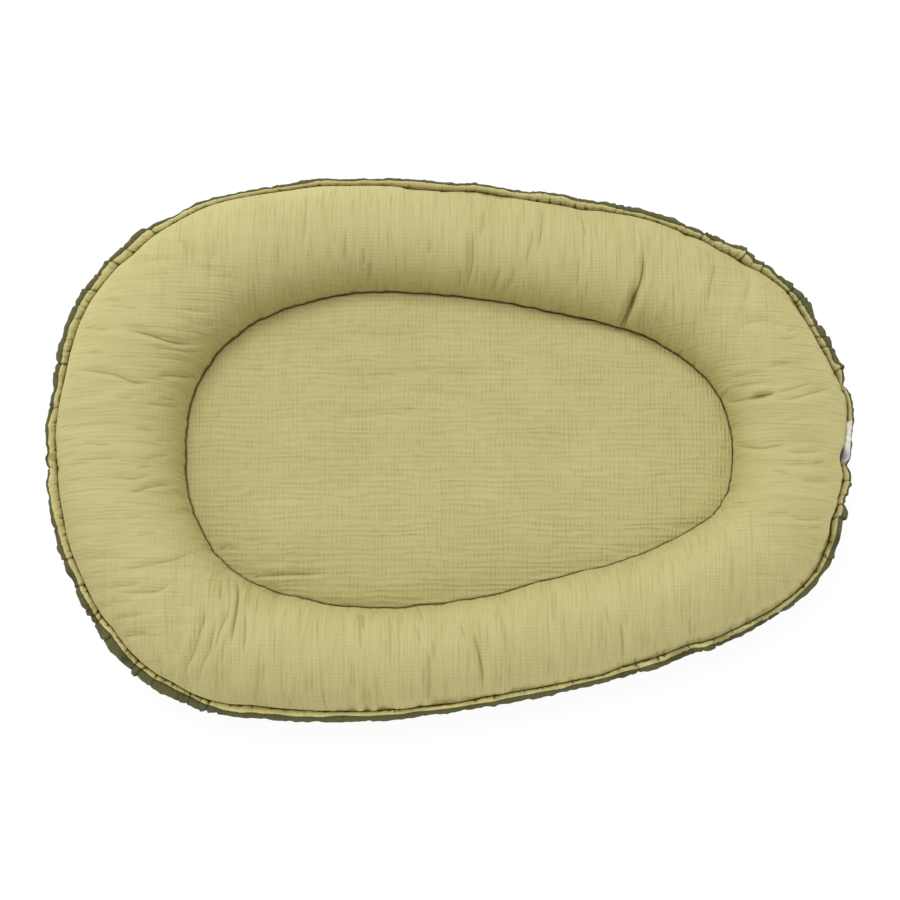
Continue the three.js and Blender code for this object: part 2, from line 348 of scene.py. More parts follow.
RING_FOLDS = (
    # Left side, where the folds run level across the ring
    Fold(3.2, 7, 2.2, 0.7, ((118, 328), (140, 332), (154, 336), (170, 342), (184, 345), (206, 344))),
    Fold(1.6, 5, 2, 0.4, ((146, 348), (168, 348.6), (188, 352), (208, 352.6))),
    Fold(2, 6, 2.4, 0.45, ((74, 368), (90, 371), (108, 373), (120, 376), (132, 382), (144, 383.4),
                           (158, 381))),
    Fold(1.6, 4, 2.2, 0.45, ((152, 378), (166, 375.6), (180, 376.6), (202, 379))),
    Fold(0.9, 4, 2, 0.25, ((78, 328), (100, 329), (114, 331))),
    Fold(0.8, 3, 2, 0.2, ((88, 353), (106, 354))),
    Fold(0.9, 4, 2, 0.25, ((106, 307), (126, 307.5), (144, 310))),
    Fold(0.7, 3, 2, 0.15, ((104, 301), (126, 302))),
    Fold(0.8, 3, 2, 0.2, ((200, 276), (220, 276), (238, 278))),
    Fold(0.8, 3, 2, 0.15, ((196, 269), (210, 269.6), (228, 272))),
    Fold(0.9, 4, 2, 0.2, ((178, 308), (196, 311), (212, 313))),
    Fold(0.8, 3, 2, 0.2, ((186, 322), (204, 326), (218, 325))),
    Fold(1, 4, 2, 0.25, ((110, 395), (126, 399.6), (138, 396))),
    Fold(1.2, 4, 2, 0.35, ((144, 404), (164, 405), (184, 408.4))),
    Fold(1.1, 4, 2, 0.3, ((132, 428), (146, 429), (158, 432))),
    Fold(1, 3, 2, 0.25, ((78, 443), (96, 444), (116, 446))),
    Fold(1.3, 5, 2.4, 0.3, ((60, 461), (90, 459), (112, 458), (130, 457))),
    Fold(1.3, 4, 2.4, 0.35, ((106, 476), (124, 478), (134, 479), (144, 476), (156, 475))),
    Fold(1.5, 4, 2.4, 0.4, ((124, 492), (138, 491), (148, 487), (162, 484.6), (180, 485))),
    Fold(0.8, 3, 2, 0.2, ((156, 399), (182, 400))),
    Fold(0.9, 4, 2, 0.25, ((134, 469), (156, 465))),
    Fold(0.9, 4, 2, 0.25, ((144, 458), (174, 455))),
    Fold(0.9, 4, 2, 0.2, ((154, 440), (178, 442))),
    Fold(0.8, 3, 2, 0.15, ((134, 536), (162, 533))),
    Fold(0.8, 3, 2, 0.15, ((122, 519), (148, 516))),
    Fold(1.3, 3, 5, 0.3, ((118, 570), (144, 566), (164, 562), (180, 558), (198, 549))),
    # Top, where they run down the ring
    Fold(2.2, 4, 7, 0.5, ((472, 222), (473, 246), (472.4, 266), (468, 284), (464, 295))),
    Fold(1, 2, 4, 0.2, ((471, 198), (472.4, 214), (472.4, 230))),
    Fold(1, 4, 2, 0.25, ((485, 202), (483, 222), (480, 240))),
    Fold(1.2, 2, 4, 0.3, ((363, 246), (364.4, 270))),
    Fold(1.2, 2, 4, 0.3, ((371, 260), (369, 286))),
    Fold(0.8, 2, 4, 0.15, ((346, 230), (345, 268))),
    Fold(0.7, 2, 3, 0.15, ((334, 226), (335, 248))),
    Fold(1, 2, 4, 0.2, ((305.6, 204), (304, 232), (303, 252))),
    Fold(1.2, 2, 4, 0.3, ((501, 266), (494, 288), (489, 300))),
    Fold(1, 2, 4, 0.25, ((459, 264), (461, 282), (455, 295))),
    Fold(0.8, 2, 3, 0.2, ((430, 240), (429, 258))),
    Fold(1, 2, 3, 0.25, ((511, 278), (505, 297))),
    Fold(1, 2, 3, 0.25, ((478, 264), (475, 292))),
    Fold(5, 3, 13, 0.9, ((643, 238), (643.4, 256), (642.4, 274), (638.4, 288), (632, 304), (628, 317),
                         (620, 326))),
    Fold(1.5, 3, 5, 0.9, ((639, 284), (634, 296), (629, 310), (622, 324), (616, 339))),
    Fold(1.5, 3, 5, 0.9, ((638, 284), (635.6, 297), (631.4, 309), (626, 320), (621, 336))),
    Fold(1.8, 6, 3, 0.4, ((537, 199), (542.4, 210), (542, 226), (540, 240), (538, 256))),
    Fold(1.6, 6, 3, 0.35, ((577, 207), (583, 222), (586, 240))),
    Fold(1, 4, 2, 0.25, ((531, 222), (533, 238), (528, 254), (525, 274))),
    Fold(0.9, 4, 3, 0.15, ((596, 220), (597.4, 244))),
    Fold(1, 4, 3, 0.2, ((631, 220), (635, 236), (633, 258))),
    Fold(0.9, 3, 4, 0.15, ((651, 234), (651, 262))),
    Fold(0.8, 3, 3, 0.15, ((656, 224), (655, 244))),
    Fold(1.6, 5, 3, 0.3, ((713, 250), (715, 266), (711, 284), (706, 312))),
    Fold(1, 3, 4, 0.25, ((580, 254), (577, 280), (575, 294))),
    Fold(1, 3, 3, 0.2, ((515, 266), (511, 290))),
    Fold(0.8, 3, 3, 0.15, ((664, 300), (666, 322))),
    # Right side
    Fold(3.4, 5, 3, 0.9, ((746, 398), (762, 395.6), (778, 392))),
    Fold(1, 3, 3, 0.8, ((742, 399.6), (756, 398), (770, 395))),
    Fold(1.8, 5, 3, 0.4, ((724, 403), (738, 401), (752, 398.6))),
    Fold(1.4, 5, 3, 0.3, ((772, 393), (790, 389), (806, 384), (822, 379))),
    Fold(1.6, 5, 3, 0.4, ((776, 400), (794, 398), (810, 393), (824, 390), (838, 386))),
    Fold(1, 4, 2, 0.3, ((784, 331.6), (800, 328))),
    Fold(1.2, 6, 4, 0.15, ((734, 328), (754, 320), (780, 318))),
    Fold(1.4, 6, 4, 0.2, ((749, 272), (750, 288), (745, 304))),
    Fold(0.9, 4, 2, 0.2, ((776, 340), (804, 336))),
    Fold(0.9, 4, 2, 0.2, ((722, 379), (750, 374), (772, 370))),
    Fold(0.8, 4, 2, 0.2, ((766, 367), (796, 361))),
    Fold(0.9, 4, 2, 0.2, ((726, 388), (754, 384), (780, 379))),
    Fold(1.7, 5, 2.4, 0.45, ((730, 445), (752, 448), (764, 448), (776, 445), (792, 443))),
    Fold(1.3, 4, 2.4, 0.35, ((782, 449), (796, 452), (812, 451.6), (830, 450))),
    Fold(0.9, 3, 2, 0.25, ((812, 465), (828, 460))),
    Fold(0.8, 3, 2, 0.2, ((770, 470), (794, 474))),
    Fold(0.8, 3, 2, 0.2, ((798, 480), (834, 482))),
    Fold(0.8, 3, 2, 0.2, ((766, 512), (794, 513))),
    Fold(1.2, 4, 2, 0.3, ((790, 518), (812, 521), (830, 518))),
    Fold(0.8, 3, 2, 0.2, ((806, 529), (826, 528))),
    # Bottom
    Fold(2.1, 5, 3, 0.6, ((473, 628), (476, 642), (479, 654), (482, 668), (483, 682), (482.4, 695))),
    Fold(1, 2, 4, 0.25, ((415, 600), (420, 612), (424, 622))),
    Fold(1, 2, 4, 0.25, ((413, 620), (419, 636), (421, 648))),
    Fold(1.2, 4, 3, 0.3, ((427, 644), (429.6, 664), (429.6, 686), (428.6, 705))),
    Fold(0.9, 2, 4, 0.2, ((459, 620), (466, 642))),
    Fold(0.9, 4, 2, 0.2, ((360, 608), (360.4, 652))),
    Fold(1.3, 4, 2, 0.35, ((363, 610), (363.6, 632))),
    Fold(1.1, 3, 3, 0.3, ((323, 686), (325, 708))),
    Fold(0.7, 3, 3, 0.15, ((330, 652), (330, 684))),
    Fold(0.8, 3, 3, 0.15, ((500, 672), (500, 693))),
    Fold(0.7, 3, 3, 0.15, ((386, 636), (387, 660))),
    Fold(0.8, 3, 2, 0.2, ((433, 636), (435.6, 664))),
    Fold(1.7, 4, 3, 0.45, ((621, 618), (622.4, 634), (624, 648), (623, 660), (621, 668))),
    Fold(0.9, 3, 3, 0.2, ((605, 602), (610, 630))),
    Fold(0.8, 3, 3, 0.15, ((626, 608), (627.4, 632))),
    Fold(1.2, 3, 3, 0.35, ((691, 616), (691, 642))),
    Fold(0.8, 3, 3, 0.15, ((664, 596), (667, 632))),
    # The fan at the lower left corner
    Fold(2.8, 6, 2.4, 0.6, ((235, 574), (239.6, 592), (237.6, 606), (235, 620), (232.4, 634),
                            (231, 650))),
    Fold(1.6, 4, 2.4, 0.35, ((245, 606), (246, 626), (245, 640), (243, 657))),
    Fold(1.5, 4, 2.4, 0.35, ((230, 598), (228, 614), (220, 630), (216, 644), (214, 660))),
    Fold(2, 3, 5, 0.4, ((209, 602), (204, 620), (199, 634), (196, 646), (193, 656), (186, 668),
                        (184, 683))),
    Fold(1.5, 3, 4, 0.3, ((218, 606), (215, 626), (212, 640), (209, 654), (202, 664), (200, 680),
                          (197, 694))),
    Fold(1.2, 3, 3, 0.25, ((226, 632), (223, 652), (221, 668))),
    Fold(1.1, 3, 3, 0.25, ((258, 650), (259, 670), (258, 688), (257.6, 705))),
    Fold(0.9, 3, 3, 0.2, ((263.6, 658), (264, 686))),
    Fold(1.1, 4, 3, 0.15, ((230, 570), (229, 608))),
    Fold(1, 4, 3, 0.15, ((221, 578), (221, 602))),
    Fold(1, 3, 4, 0.2, ((180, 660), (176, 672), (174, 682))),
    Fold(1.2, 5, 2.4, 0.3, ((108, 586), (130, 585), (148, 582))),
    Fold(1.8, 5, 3, 0.4, ((104, 590), (122, 592), (142, 593), (160, 591), (170, 583), (180, 579))),
    Fold(0.8, 4, 2, 0.2, ((108, 602), (138, 600))),
    Fold(1.3, 4, 2.4, 0.35, ((112, 617), (134, 615.6), (148, 613.6))),
    Fold(1.5, 4, 3, 0.45, ((120, 636), (136, 634.4), (154, 631.6))),
)

FLOOR_FOLDS = (
    Fold(3.4, 9, 2, 0.75, ((224, 581), (246, 578), (258, 576), (272, 575), (290, 574), (312, 573.6),
                           (342, 572))),
    Fold(1.4, 6, 2, 0.5, ((188, 547), (212, 547), (228, 548), (248, 550))),
    Fold(0.9, 5, 4, 0.15, ((236, 541), (258, 542.4), (282, 542))),
    Fold(2.8, 11, 8, 0.06, ((300, 345), (350, 340), (397, 336), (417, 336.6), (456, 340))),
    Fold(2.4, 10, 9, 0.05, ((304, 379), (370, 375), (430, 371.6), (470, 376), (517, 367), (546, 359))),
    Fold(1.8, 7, 7, 0.05, ((296, 391), (397, 388), (463, 395), (500, 410))),
    Fold(1.6, 8, 7, 0.04, ((320, 419), (390, 413), (430, 414))),
    Fold(0.9, 4, 3, 0.15, ((252, 560), (270, 562), (290, 560.6))),
    Fold(1.2, 5, 4, 0.2, ((660, 524), (680, 528), (704, 526))),
    Fold(1, 4, 3, 0.2, ((708, 445), (732, 449))),
)


CORNER_CUT = 0.25
CORNER_CUTS = 3


def rounded(course):
    """A course with its corners cut several times over"""
    points = np.array(course, float)
    for _ in range(CORNER_CUTS):
        near = points[:-1] * (1 - CORNER_CUT) + points[1:] * CORNER_CUT
        far = points[:-1] * CORNER_CUT + points[1:] * (1 - CORNER_CUT)
        cut = np.stack([near, far], axis=1).reshape(-1, 2)
        points = np.vstack([points[:1], cut, points[-1:]])
    return points


def beside_course(places, course):
    """Each place's way from a course, positive on its left, and its share of the way along it"""
    starts, ways = course[:-1], np.diff(course, axis=0)
    sizes = np.linalg.norm(ways, axis=1)
    done = np.concatenate([[0], np.cumsum(sizes)])
    best = np.full(len(places), np.inf)
    signed, along = np.zeros(len(places)), np.zeros(len(places))
    for start, way, size, before in zip(starts, ways, sizes, done):
        if size == 0:
            continue
        offset = places - start
        share = np.clip(offset @ way / size ** 2, 0, 1)
        gap = offset - share[:, None] * way
        distance = np.linalg.norm(gap, axis=1)
        nearer = distance < best
        best[nearer] = distance[nearer]
        side = np.sign(way[1] * gap[:, 0] - way[0] * gap[:, 1])
        signed[nearer] = (distance * side)[nearer]
        along[nearer] = ((before + share * size) / done[-1])[nearer]
    return signed, along


# A fold reaches over a number of its widths, fades at its ends, and has a lip on each side that lies a
# number of its narrow widths away. The half width of its line of painted shade is in millimetres.
FOLD_REACH = 5
FOLD_SHARPNESS = 1.3
FOLD_END_SHARE = 0.34
FOLD_LIP_SHARE = 0.3
FOLD_LIP_PLACE = 3
FOLD_LIP_HALF = 2
FOLD_LINE_HALF = 0.95
FOLD_SHADE = 1.1

LINE_SHARPNESS = 1.5


def line_shade(distance, half):
    """How much painted shade the cloth has beside a shaded line of a half width, from 0 to 1"""
    return np.exp(-np.abs(distance / half) ** LINE_SHARPNESS)


def fold_cloth(points, folds, depth_share):
    """The height that folds give to points of the cloth, and the painted shade along their lines"""
    places = photo_place(points)
    height, shade = np.zeros(len(points)), np.zeros(len(points))
    for fold in folds:
        course = rounded(fold.course)
        reach = FOLD_REACH * max(fold.left, fold.right) * MM / PIXEL
        near = np.all((places > course.min(0) - reach) & (places < course.max(0) + reach), axis=1)
        signed, along = beside_course(places[near], course)
        signed *= PIXEL / MM
        width = np.where(signed > 0, fold.left, fold.right)
        ends = ease(along / FOLD_END_SHARE) * ease((1 - along) / FOLD_END_SHARE)
        away = np.abs(signed) / width
        valley = np.exp(-away ** FOLD_SHARPNESS)
        narrow = min(fold.left, fold.right)
        from_lip = (np.abs(signed) - FOLD_LIP_PLACE * narrow) / (FOLD_LIP_HALF * narrow)
        lip = FOLD_LIP_SHARE * np.exp(-from_lip ** 2)
        height[near] += fold.depth * MM * depth_share * ends * (lip - valley)
        line = min(FOLD_SHADE * fold.shade, 1) * ends * line_shade(signed, FOLD_LINE_HALF)
        shade[near] = np.maximum(shade[near], line)
    return height, shade


# The casing on the photo. Each place is a percent of the way round, with how far out of the frame's
# rim the seam, the join of the light and the dark strip, and the edge lie, in pixels.


CASING_PLACES = (
    (0, 3, 8.4, 9.2), (0.5, 5, 9.8, 10.6), (1, 6.6, 12, 13), (1.5, 7.7, 13.2, 14.3),
    (2, 8, 11.4, 12.6), (2.3, 5.8, 9.6, 11.2), (2.5, 5, 6, 6.8), (2.8, 4, 10, 11.2),
    (3.15, 3, 12.2, 14), (3.45, 1.4, 7.2, 9), (3.8, 0.8, 7.2, 9.8), (4.3, -0.8, 6.4, 11.2),
    (4.8, -0.5, 5.2, 10.8), (5.4, 0.2, 7.4, 10.6), (5.9, 1.6, 8.6, 13.4), (6.3, 3.8, 10.2, 14.6),
    (7, 6, 11, 15), (7.6, 5.6, 10.8, 13.2), (8.4, 3.6, 11.6, 13.8), (8.9, 0.8, 8.6, 10.6),
    (9.5, 1, 12.6, 15.4), (10, 0.6, 11.4, 13.6), (10.5, -0.4, 8.4, 9.4), (11, 0.6, 7, 10),
    (11.4, 1.2, 8.4, 11), (11.9, 0.8, 6.4, 9), (12.3, 0.8, 7.4, 10.3), (13, 1.4, 6.2, 9.8),
    (14, 3, 7.4, 11), (15, 3.6, 8, 11.7), (16, 2.4, 8.2, 11.6), (16.6, 2.5, 9.4, 12.2),
    (17.7, 0, 9, 10.8), (18.7, 1.6, 11.1, 12.1), (19.5, 1.1, 11.1, 12), (20.2, 1.2, 10.3, 11.2),
    (21, 1.9, 8.3, 8.9), (22, 3.4, 9.7, 10.5), (23.5, 4.6, 11.7, 12.7), (25, 2.2, 10, 10.8),
    (26.5, 1.5, 10.4, 11.4), (28, 3.4, 9.4, 10.6), (30, 3.8, 9, 9.8), (31.5, 5, 11, 12.1),
    (33, 3.7, 8, 10), (35, 4.2, 8.7, 9.6), (37, 5, 10.4, 11), (37.8, 4.4, 9.8, 10), (38.4, 3.9, 8.8, 9.1),
    (39.6, 4.4, 12.4, 15.2), (40.8, 2.2, 11, 14.8), (41.5, 4.4, 12.8, 16.4), (42.5, 4.4, 11, 14.8),
    (43.4, 4.4, 11.7, 16), (44.5, 2.2, 10.2, 13.7), (45.5, -0.5, 7.2, 10.2), (46.5, -2, 4.8, 8.4),
    (47.2, -1.7, 4, 6.4), (48, 0.5, 6.2, 9), (49, 3.8, 11.4, 12.6), (49.7, 5.1, 12.8, 14.2),
    (50.3, 3.9, 10.2, 11.4), (50.7, 3.9, 12.6, 13.9), (51.3, 2, 8.4, 9.6), (51.8, 1.4, 10.9, 12.3),
    (52.5, 0.4, 9.8, 11), (53.2, -0.7, 8.6, 10.4), (54, -0.3, 7.6, 9.8), (55, -0.5, 6.4, 10.6),
    (56, -1, 5.3, 9.8), (57, -1, 5, 10), (58, -2, 3.6, 8.2), (58.8, -4.4, 1.8, 10.3),
    (59.7, -2.4, 3.4, 11), (60.4, -1.6, 3.8, 10), (61.2, -1.3, 3, 12), (61.9, -2.8, 1.6, 11.3),
    (62.7, -1, 1.6, 9.8), (63.6, 0, 3.8, 11.3), (64.5, 0, 6.3, 11), (65.5, -2.1, 5.3, 10),
    (66.5, -1.6, 4.8, 9.2), (68, -0.7, 5.1, 9.9), (70, 0.3, 4.8, 9.9), (72, 0, 4.9, 9.6),
    (74, 0.4, 5.3, 9.2), (75.5, 1.6, 6, 9.4), (77, -0.4, 5, 9.1), (79, 0, 4.6, 9.1),
    (80.4, 0.6, 5.6, 9.5), (82, 1, 5.2, 9.3), (83.3, 2.4, 6, 9.9), (84.5, -0.3, 5.6, 10.3),
    (86.4, 0.5, 7.2, 11.6), (88, -1, 4, 8.8), (88.7, 1.6, 8.2, 11.9), (89.5, 1.8, 7, 11.3),
    (90.8, -0.5, 5.2, 8.8), (91.5, -1.2, 3.8, 7.3), (92.6, -0.4, 5, 7.6), (93.8, 1.5, 5.6, 9.2),
    (94.5, 1.2, 5.6, 9.6), (95.3, -1.2, 3.8, 7.4), (96, -2.9, 3.4, 7.4), (96.6, -7, 0, 3.6),
    (97.05, -4, 4, 7.8), (97.45, -4.4, 0.6, 1.6), (97.9, -2, 5, 6), (98.3, 0, 8.1, 9.3),
    (98.7, -1.2, 5.4, 6.6), (99, -4, 1.6, 2.4), (99.15, -4.4, 4.6, 5.6), (99.3, -4.2, 6.8, 7.6),
    (99.6, -2, 7.6, 8.4),
)

# Its creases: the percent of the way round, how deep the crease is, and how far on it runs from the
# seam to the edge, in pixels
CASING_CREASES = (
    (1.6, 0.4, 0), (2.2, 0.7, -1), (3.05, 1, 1), (3.3, 0.5, 2), (3.85, 0.7, -2), (4.2, 1, -4),
    (4.7, 1.1, -4), (5.2, 1.1, -4), (5.45, 0.5, -3), (5.7, 0.7, -2), (6.15, 0.6, -1), (6.3, 1, -1),
    (6.9, 1, 1), (7.35, 0.5, 0), (7.7, 0.6, 0), (8.35, 1, 3), (8.9, 0.6, 0), (9.45, 1.1, -1),
    (10.05, 0.7, 2), (10.4, 0.6, 2), (10.8, 0.7, 3), (11.05, 0.5, 2), (11.5, 1, -2), (11.9, 0.6, 0),
    (12.2, 0.5, 2), (12.7, 0.4, 0), (13.3, 0.4, 1), (13.7, 0.4, 1), (14.3, 0.5, 1), (15, 0.4, 1),
    (15.4, 0.5, 1), (15.9, 0.6, 1), (16.6, 0.3, 0), (17.5, 1, 2), (18.1, 1, 2), (18.85, 1, 1),
    (19.5, 0.9, 1), (20.2, 1, 2), (20.6, 0.5, 0), (21.8, 0.5, 0), (23.2, 0.4, 1), (24, 0.3, 0),
    (25.3, 0.5, 0), (26.4, 0.5, 0), (27.1, 0.6, 1), (28.7, 0.3, 0), (30.2, 0.3, 0), (31.4, 0.8, 0),
    (32.5, 0.5, -2), (33.4, 0.8, 1), (34.2, 0.5, -1), (36, 0.3, 0), (37.8, 0.9, 0), (38.6, 0.5, 2),
    (39.4, 0.9, 4), (40.6, 0.8, 4), (41.4, 1.1, 5), (42.1, 0.7, 3), (42.9, 1, 4), (43.5, 0.7, 3),
    (43.8, 0.6, 3), (44.3, 0.8, 3), (45.3, 0.6, 1), (45.75, 0.8, 2), (46.3, 1, 1), (46.6, 0.7, 2),
    (47.3, 0.6, 1), (48.1, 0.7, 0), (48.85, 0.9, 1), (49.3, 0.4, 0), (50.3, 0.8, 0), (50.8, 0.4, 0),
    (51.2, 0.9, 0), (51.9, 0.5, 0), (52.6, 0.9, 1), (52.9, 0.6, 1), (53.35, 0.9, 0), (53.65, 0.6, 0),
    (54, 0.7, 0), (54.25, 0.5, 0), (54.75, 0.6, 2), (55.05, 0.9, 0), (55.7, 0.4, 0), (56.4, 0.8, 0),
    (56.7, 0.8, -2), (57.3, 0.5, 0), (57.7, 1, -1), (58, 1, 0), (58.45, 0.9, 1), (58.85, 0.9, -2),
    (59.3, 0.6, 0), (59.7, 0.8, 2), (60.3, 1, 0), (60.7, 1, -1), (61.2, 0.7, 1), (61.6, 0.7, 0),
    (61.95, 0.7, 2), (62.4, 0.8, 0), (62.75, 0.8, 1), (63.3, 0.6, 0), (63.65, 1, 1), (64.1, 0.5, 0),
    (64.6, 0.4, 0), (65.1, 0.4, 0), (65.6, 0.5, 0), (66.5, 0.6, 0), (67.2, 0.2, 0), (68.2, 0.3, 0),
    (69.3, 0.4, 0), (70.3, 0.2, 0), (71, 0.3, 0), (72.35, 0.6, 0), (73.6, 0.3, 0), (75, 0.4, 0),
    (76.5, 0.6, 0), (77.5, 0.7, 0), (79, 0.5, 0), (79.9, 0.5, 0), (80.7, 0.4, 0), (81.6, 0.6, 0),
    (82.5, 0.4, 0), (83.4, 0.3, 0), (84.3, 0.4, 0), (85.2, 0.7, 0), (86.3, 0.9, 0), (86.6, 0.8, -2),
    (87.9, 0.7, 0), (88.5, 0.6, 0), (89.2, 0.6, -1), (90.2, 0.5, 1), (91.15, 0.6, 0), (91.9, 0.6, 0),
    (92.5, 0.5, 0), (93.2, 0.5, 0), (93.8, 0.8, 0), (94.5, 0.7, 0), (95.2, 0.85, 1), (95.75, 0.7, 2),
    (96.6, 1, 2), (97.2, 1, 2), (97.6, 0.6, 1), (98.2, 0.9, 0), (98.9, 0.8, 0),
)

# At percents of the way round: how far in from its stitches the seam's dark line starts, in pixels,
# how strongly the casing puffs up between its gathers, how strong the painted shade on the light strip
# beside the seam is, how much painted light makes the light strip paler, and how strong the painted shade
# is on the ring's cloth that turns in beside the outer seam
SEAM_LINE_STARTS = (
    (0, 0), (6, 0), (10, 0.5), (14, 0.9), (36, 1), (40, 1.6), (46, 1.4), (50, 1), (60, 0.9), (70, 0.6),
    (76, 0.2), (80, 0), (84, -0.4), (88, -0.8), (92, -0.8), (94, 0), (98, 0), (100, 0),
)
CASING_PUFFS = (
    (0, 0.5), (3, 1), (12, 1), (15, 0.6), (20, 0.5), (24, 0.2), (36, 0.2), (39, 0.8), (48, 1), (56, 0.8),
    (60, 1), (64, 1), (67, 0.4), (84, 0.4), (87, 0.8), (99, 0.8), (100, 0.5),
)
STRIP_SEAM_SHADE = (
    (0, 0.6), (1, 0.6), (1.5, 0.9), (2.5, 0.9), (4, 0.7), (34, 0.8), (37, 0.25), (43, 0.35), (46, 0.6),
    (52, 0.45), (57, 0.1), (60, 0), (92, 0), (96, 0.4), (100, 0.6),
)
STRIP_PAINTED_LIGHT = (
    (0, 0), (35, 0), (38, 0.12), (43, 0.05), (56, 0.1), (60, 0.45), (64, 0.45), (70, 0.33), (90, 0.28),
    (95, 0.05), (100, 0),
)
OUTER_EDGE_SHADES = (
    (0, 0), (3, 0.1), (6, 0.6), (10, 0.95), (24, 0.9), (28, 0.4), (31, 0.1), (43, 0.15), (47, 0.3), (51, 0.7),
    (54, 1.4), (59, 1.4), (62, 0.85), (66, 1.2), (69, 0.7), (72, 0.2), (76, 0.1), (100, 0),
)
# How far out of its places the edge lies, in pixels, and how much farther where the casing puffs up
EDGE_OUT = 0.3
EDGE_PUFF = 0.5


def from_table(table, u):
    """A table's value at shares of the way round"""
    percents, values = zip(*table)
    return np.interp(np.mod(u, 1) * 100, percents, values)


PLACE_BLUR = 2 / TABLE_SIZE
BLUR_STEPS = 6


def course_tables():
    """The seam, the join and the edge as even tables, with their corners a little rounded"""
    table = np.array(CASING_PLACES, float)
    steps = np.arange(-BLUR_STEPS, BLUR_STEPS + 1) / TABLE_SIZE
    weights = np.exp(-(steps / PLACE_BLUR) ** 2 / 2)
    courses = {}
    for name, values in zip(("seam", "join", "edge"), table[:, 1:].T):
        near = [np.interp(TABLE_SHARES + step, table[:, 0] / 100, values, period=1) for step in steps]
        courses[name] = np.average(near, axis=0, weights=weights)[:, None] * PIXEL
    courses["seam"] -= from_table(SEAM_LINE_STARTS, TABLE_SHARES)[:, None] * PIXEL
    out = EDGE_OUT + EDGE_PUFF * from_table(CASING_PUFFS, TABLE_SHARES)
    courses["edge"] += out[:, None] * PIXEL
    return courses


courses = course_tables()


def casing_course(u, name):
    return round_nest(courses[name], u)[:, 0]


# Surfaces


RING_ARC = 190 * MM
SEAM_SHIFT_REACH = 16 * MM
ROUND_SHARE = 0.55
UPPER_CREST_POWER = 0.66
UNDERSIDE_POWER = 4
# From where on the ring's outer wall is drawn back to the seam, as shares of the way over the ring
WALL_START = 0.5
WALL_EASE = 0.2
WALL_ROUND = 0.5 * MM


def ring_section(share, is_upper):
    """How far across a ring's section a share of its cloth lies, and how far it has risen"""
    turn = math.pi * share
    across = share * (1 - ROUND_SHARE) + (1 - np.cos(turn)) / 2 * ROUND_SHARE
    if is_upper:
        return across, np.sin(np.clip(turn, 0, math.pi)) ** UPPER_CREST_POWER
    return across, np.sqrt(1 - np.abs(np.cos(turn)) ** UNDERSIDE_POWER)


def seen_out(points, u):
    """How far out of the frame's rim the photo shows points at shares of the way round"""
    rim = round_nest(lines.outer, u)
    out = ((points - rim)[:, :2] * out_of_nest(u)).sum(axis=1)
    return out + look_down(u) * (points[:, 2] - rim[:, 2])


def behind_seam(points, u, s):
    """Draws the ring's outer wall back to where the photo shows the seam"""
    over = seen_out(points, u) - casing_course(u, "seam")
    back = (over + np.hypot(over, WALL_ROUND) - WALL_ROUND) / 2 * ease((s - WALL_START) / WALL_EASE)
    points[:, :2] -= out_of_nest(u) * np.maximum(back, 0)[:, None]


def ring_skin(u, s, is_upper):
    """Points of the ring's cover, at shares round the nest and from the inner to the outer seam"""
    seam, rim, crest = (round_nest(table, u) for table in lines[:3])
    width = np.linalg.norm((rim - seam)[:, :2], axis=1)
    out = out_of_nest(u)
    across_share, rise = ring_section(s, is_upper)
    across = SEAM_HALF + (width - 2 * SEAM_HALF) * across_share
    across += casing_course(u, "seam") * np.exp(-(1 - s) * RING_ARC / SEAM_SHIFT_REACH)
    level = seam[:, 2] + (rim - seam)[:, 2] * across / width
    if is_upper:
        height = level + SEAM_LAP + (crest[:, 0] - level - SEAM_LAP) * rise
    else:
        height = level - SEAM_LAP - (level - SEAM_LAP - GROUND_CLEARANCE) * rise
    return np.column_stack([seam[:, :2] + out * across[:, None], height])


def surface_normals(surface, u, v, step=1e-4):
    """Outward directions of a surface that is given by two shares"""
    along = surface(u + step, v) - surface(u - step, v)
    inside = np.clip(v, step, 1 - step)
    across = surface(u, inside + step) - surface(u, inside - step)
    return unit(np.cross(across, along))


# Meshes


def grid_mesh(columns, rows):
    """A flat grid from -1 to 1 with its UV map, as a bmesh"""
    bm = bmesh.new()
    bm.loops.layers.uv.new("UVMap")
    bmesh.ops.create_grid(bm, x_segments=columns, y_segments=rows, size=1, calc_uvs=True)
    return bm


def grid_places(bm):
    return np.array([vertex.co[:2] for vertex in bm.verts])


def grid_shares(bm):
    """The shares of a grid's width and height at which its vertices lie"""
    return ((grid_places(bm) + 1) / 2).T


def lay_out(bm, points, marks):
    """Puts each vertex in its place and notes its marks, which are values by their names"""
    layers = [bm.verts.layers.float.new(name) for name in marks]
    values = [mark.tolist() for mark in marks.values()]
    for vertex, point, *noted in zip(bm.verts, points.tolist(), *values):
        vertex.co = point
        for layer, value in zip(layers, noted):
            vertex[layer] = value


def finished(bm, name, material):
    """The bmesh as an object with smooth faces"""
    for face in bm.faces:
        face.smooth = True
    mesh = bpy.data.meshes.new(name)
    bm.to_mesh(mesh)
    bm.free()
    piece = bpy.data.objects.new(name, mesh)
    bpy.context.scene.collection.objects.link(piece)
    mesh.materials.append(material)
    return piece


WELD = 0.02 * MM


def closed(bm, name, material):
    """A grid that meets itself, with its edges joined and its faces turned out, as an object"""
    bmesh.ops.remove_doubles(bm, verts=bm.verts, dist=WELD)
    bmesh.ops.recalc_face_normals(bm, faces=bm.faces)
    return finished(bm, name, material)


# How much closer together a cover's rows lie beside its seams
ROWS_DRAWN = 0.6


def ring_body(name, columns, rows, surface, material):
    """A cover that runs all round. The last row of its grid closes it between its two seams."""
    bm = grid_mesh(columns, rows + 1)
    u, across = grid_shares(bm)
    across = across * (rows + 1) / rows
    is_closing = across > 1 + 0.5 / rows
    across = across - ROWS_DRAWN * np.sin(2 * math.pi * across) / (2 * math.pi)
    points, shade = surface(u, np.where(is_closing, 0, np.minimum(across, 1)))
    lay_out(bm, points, {SHADE: shade, GRAIN: ring_grain(u)})
    return closed(bm, name, material)


# The ring


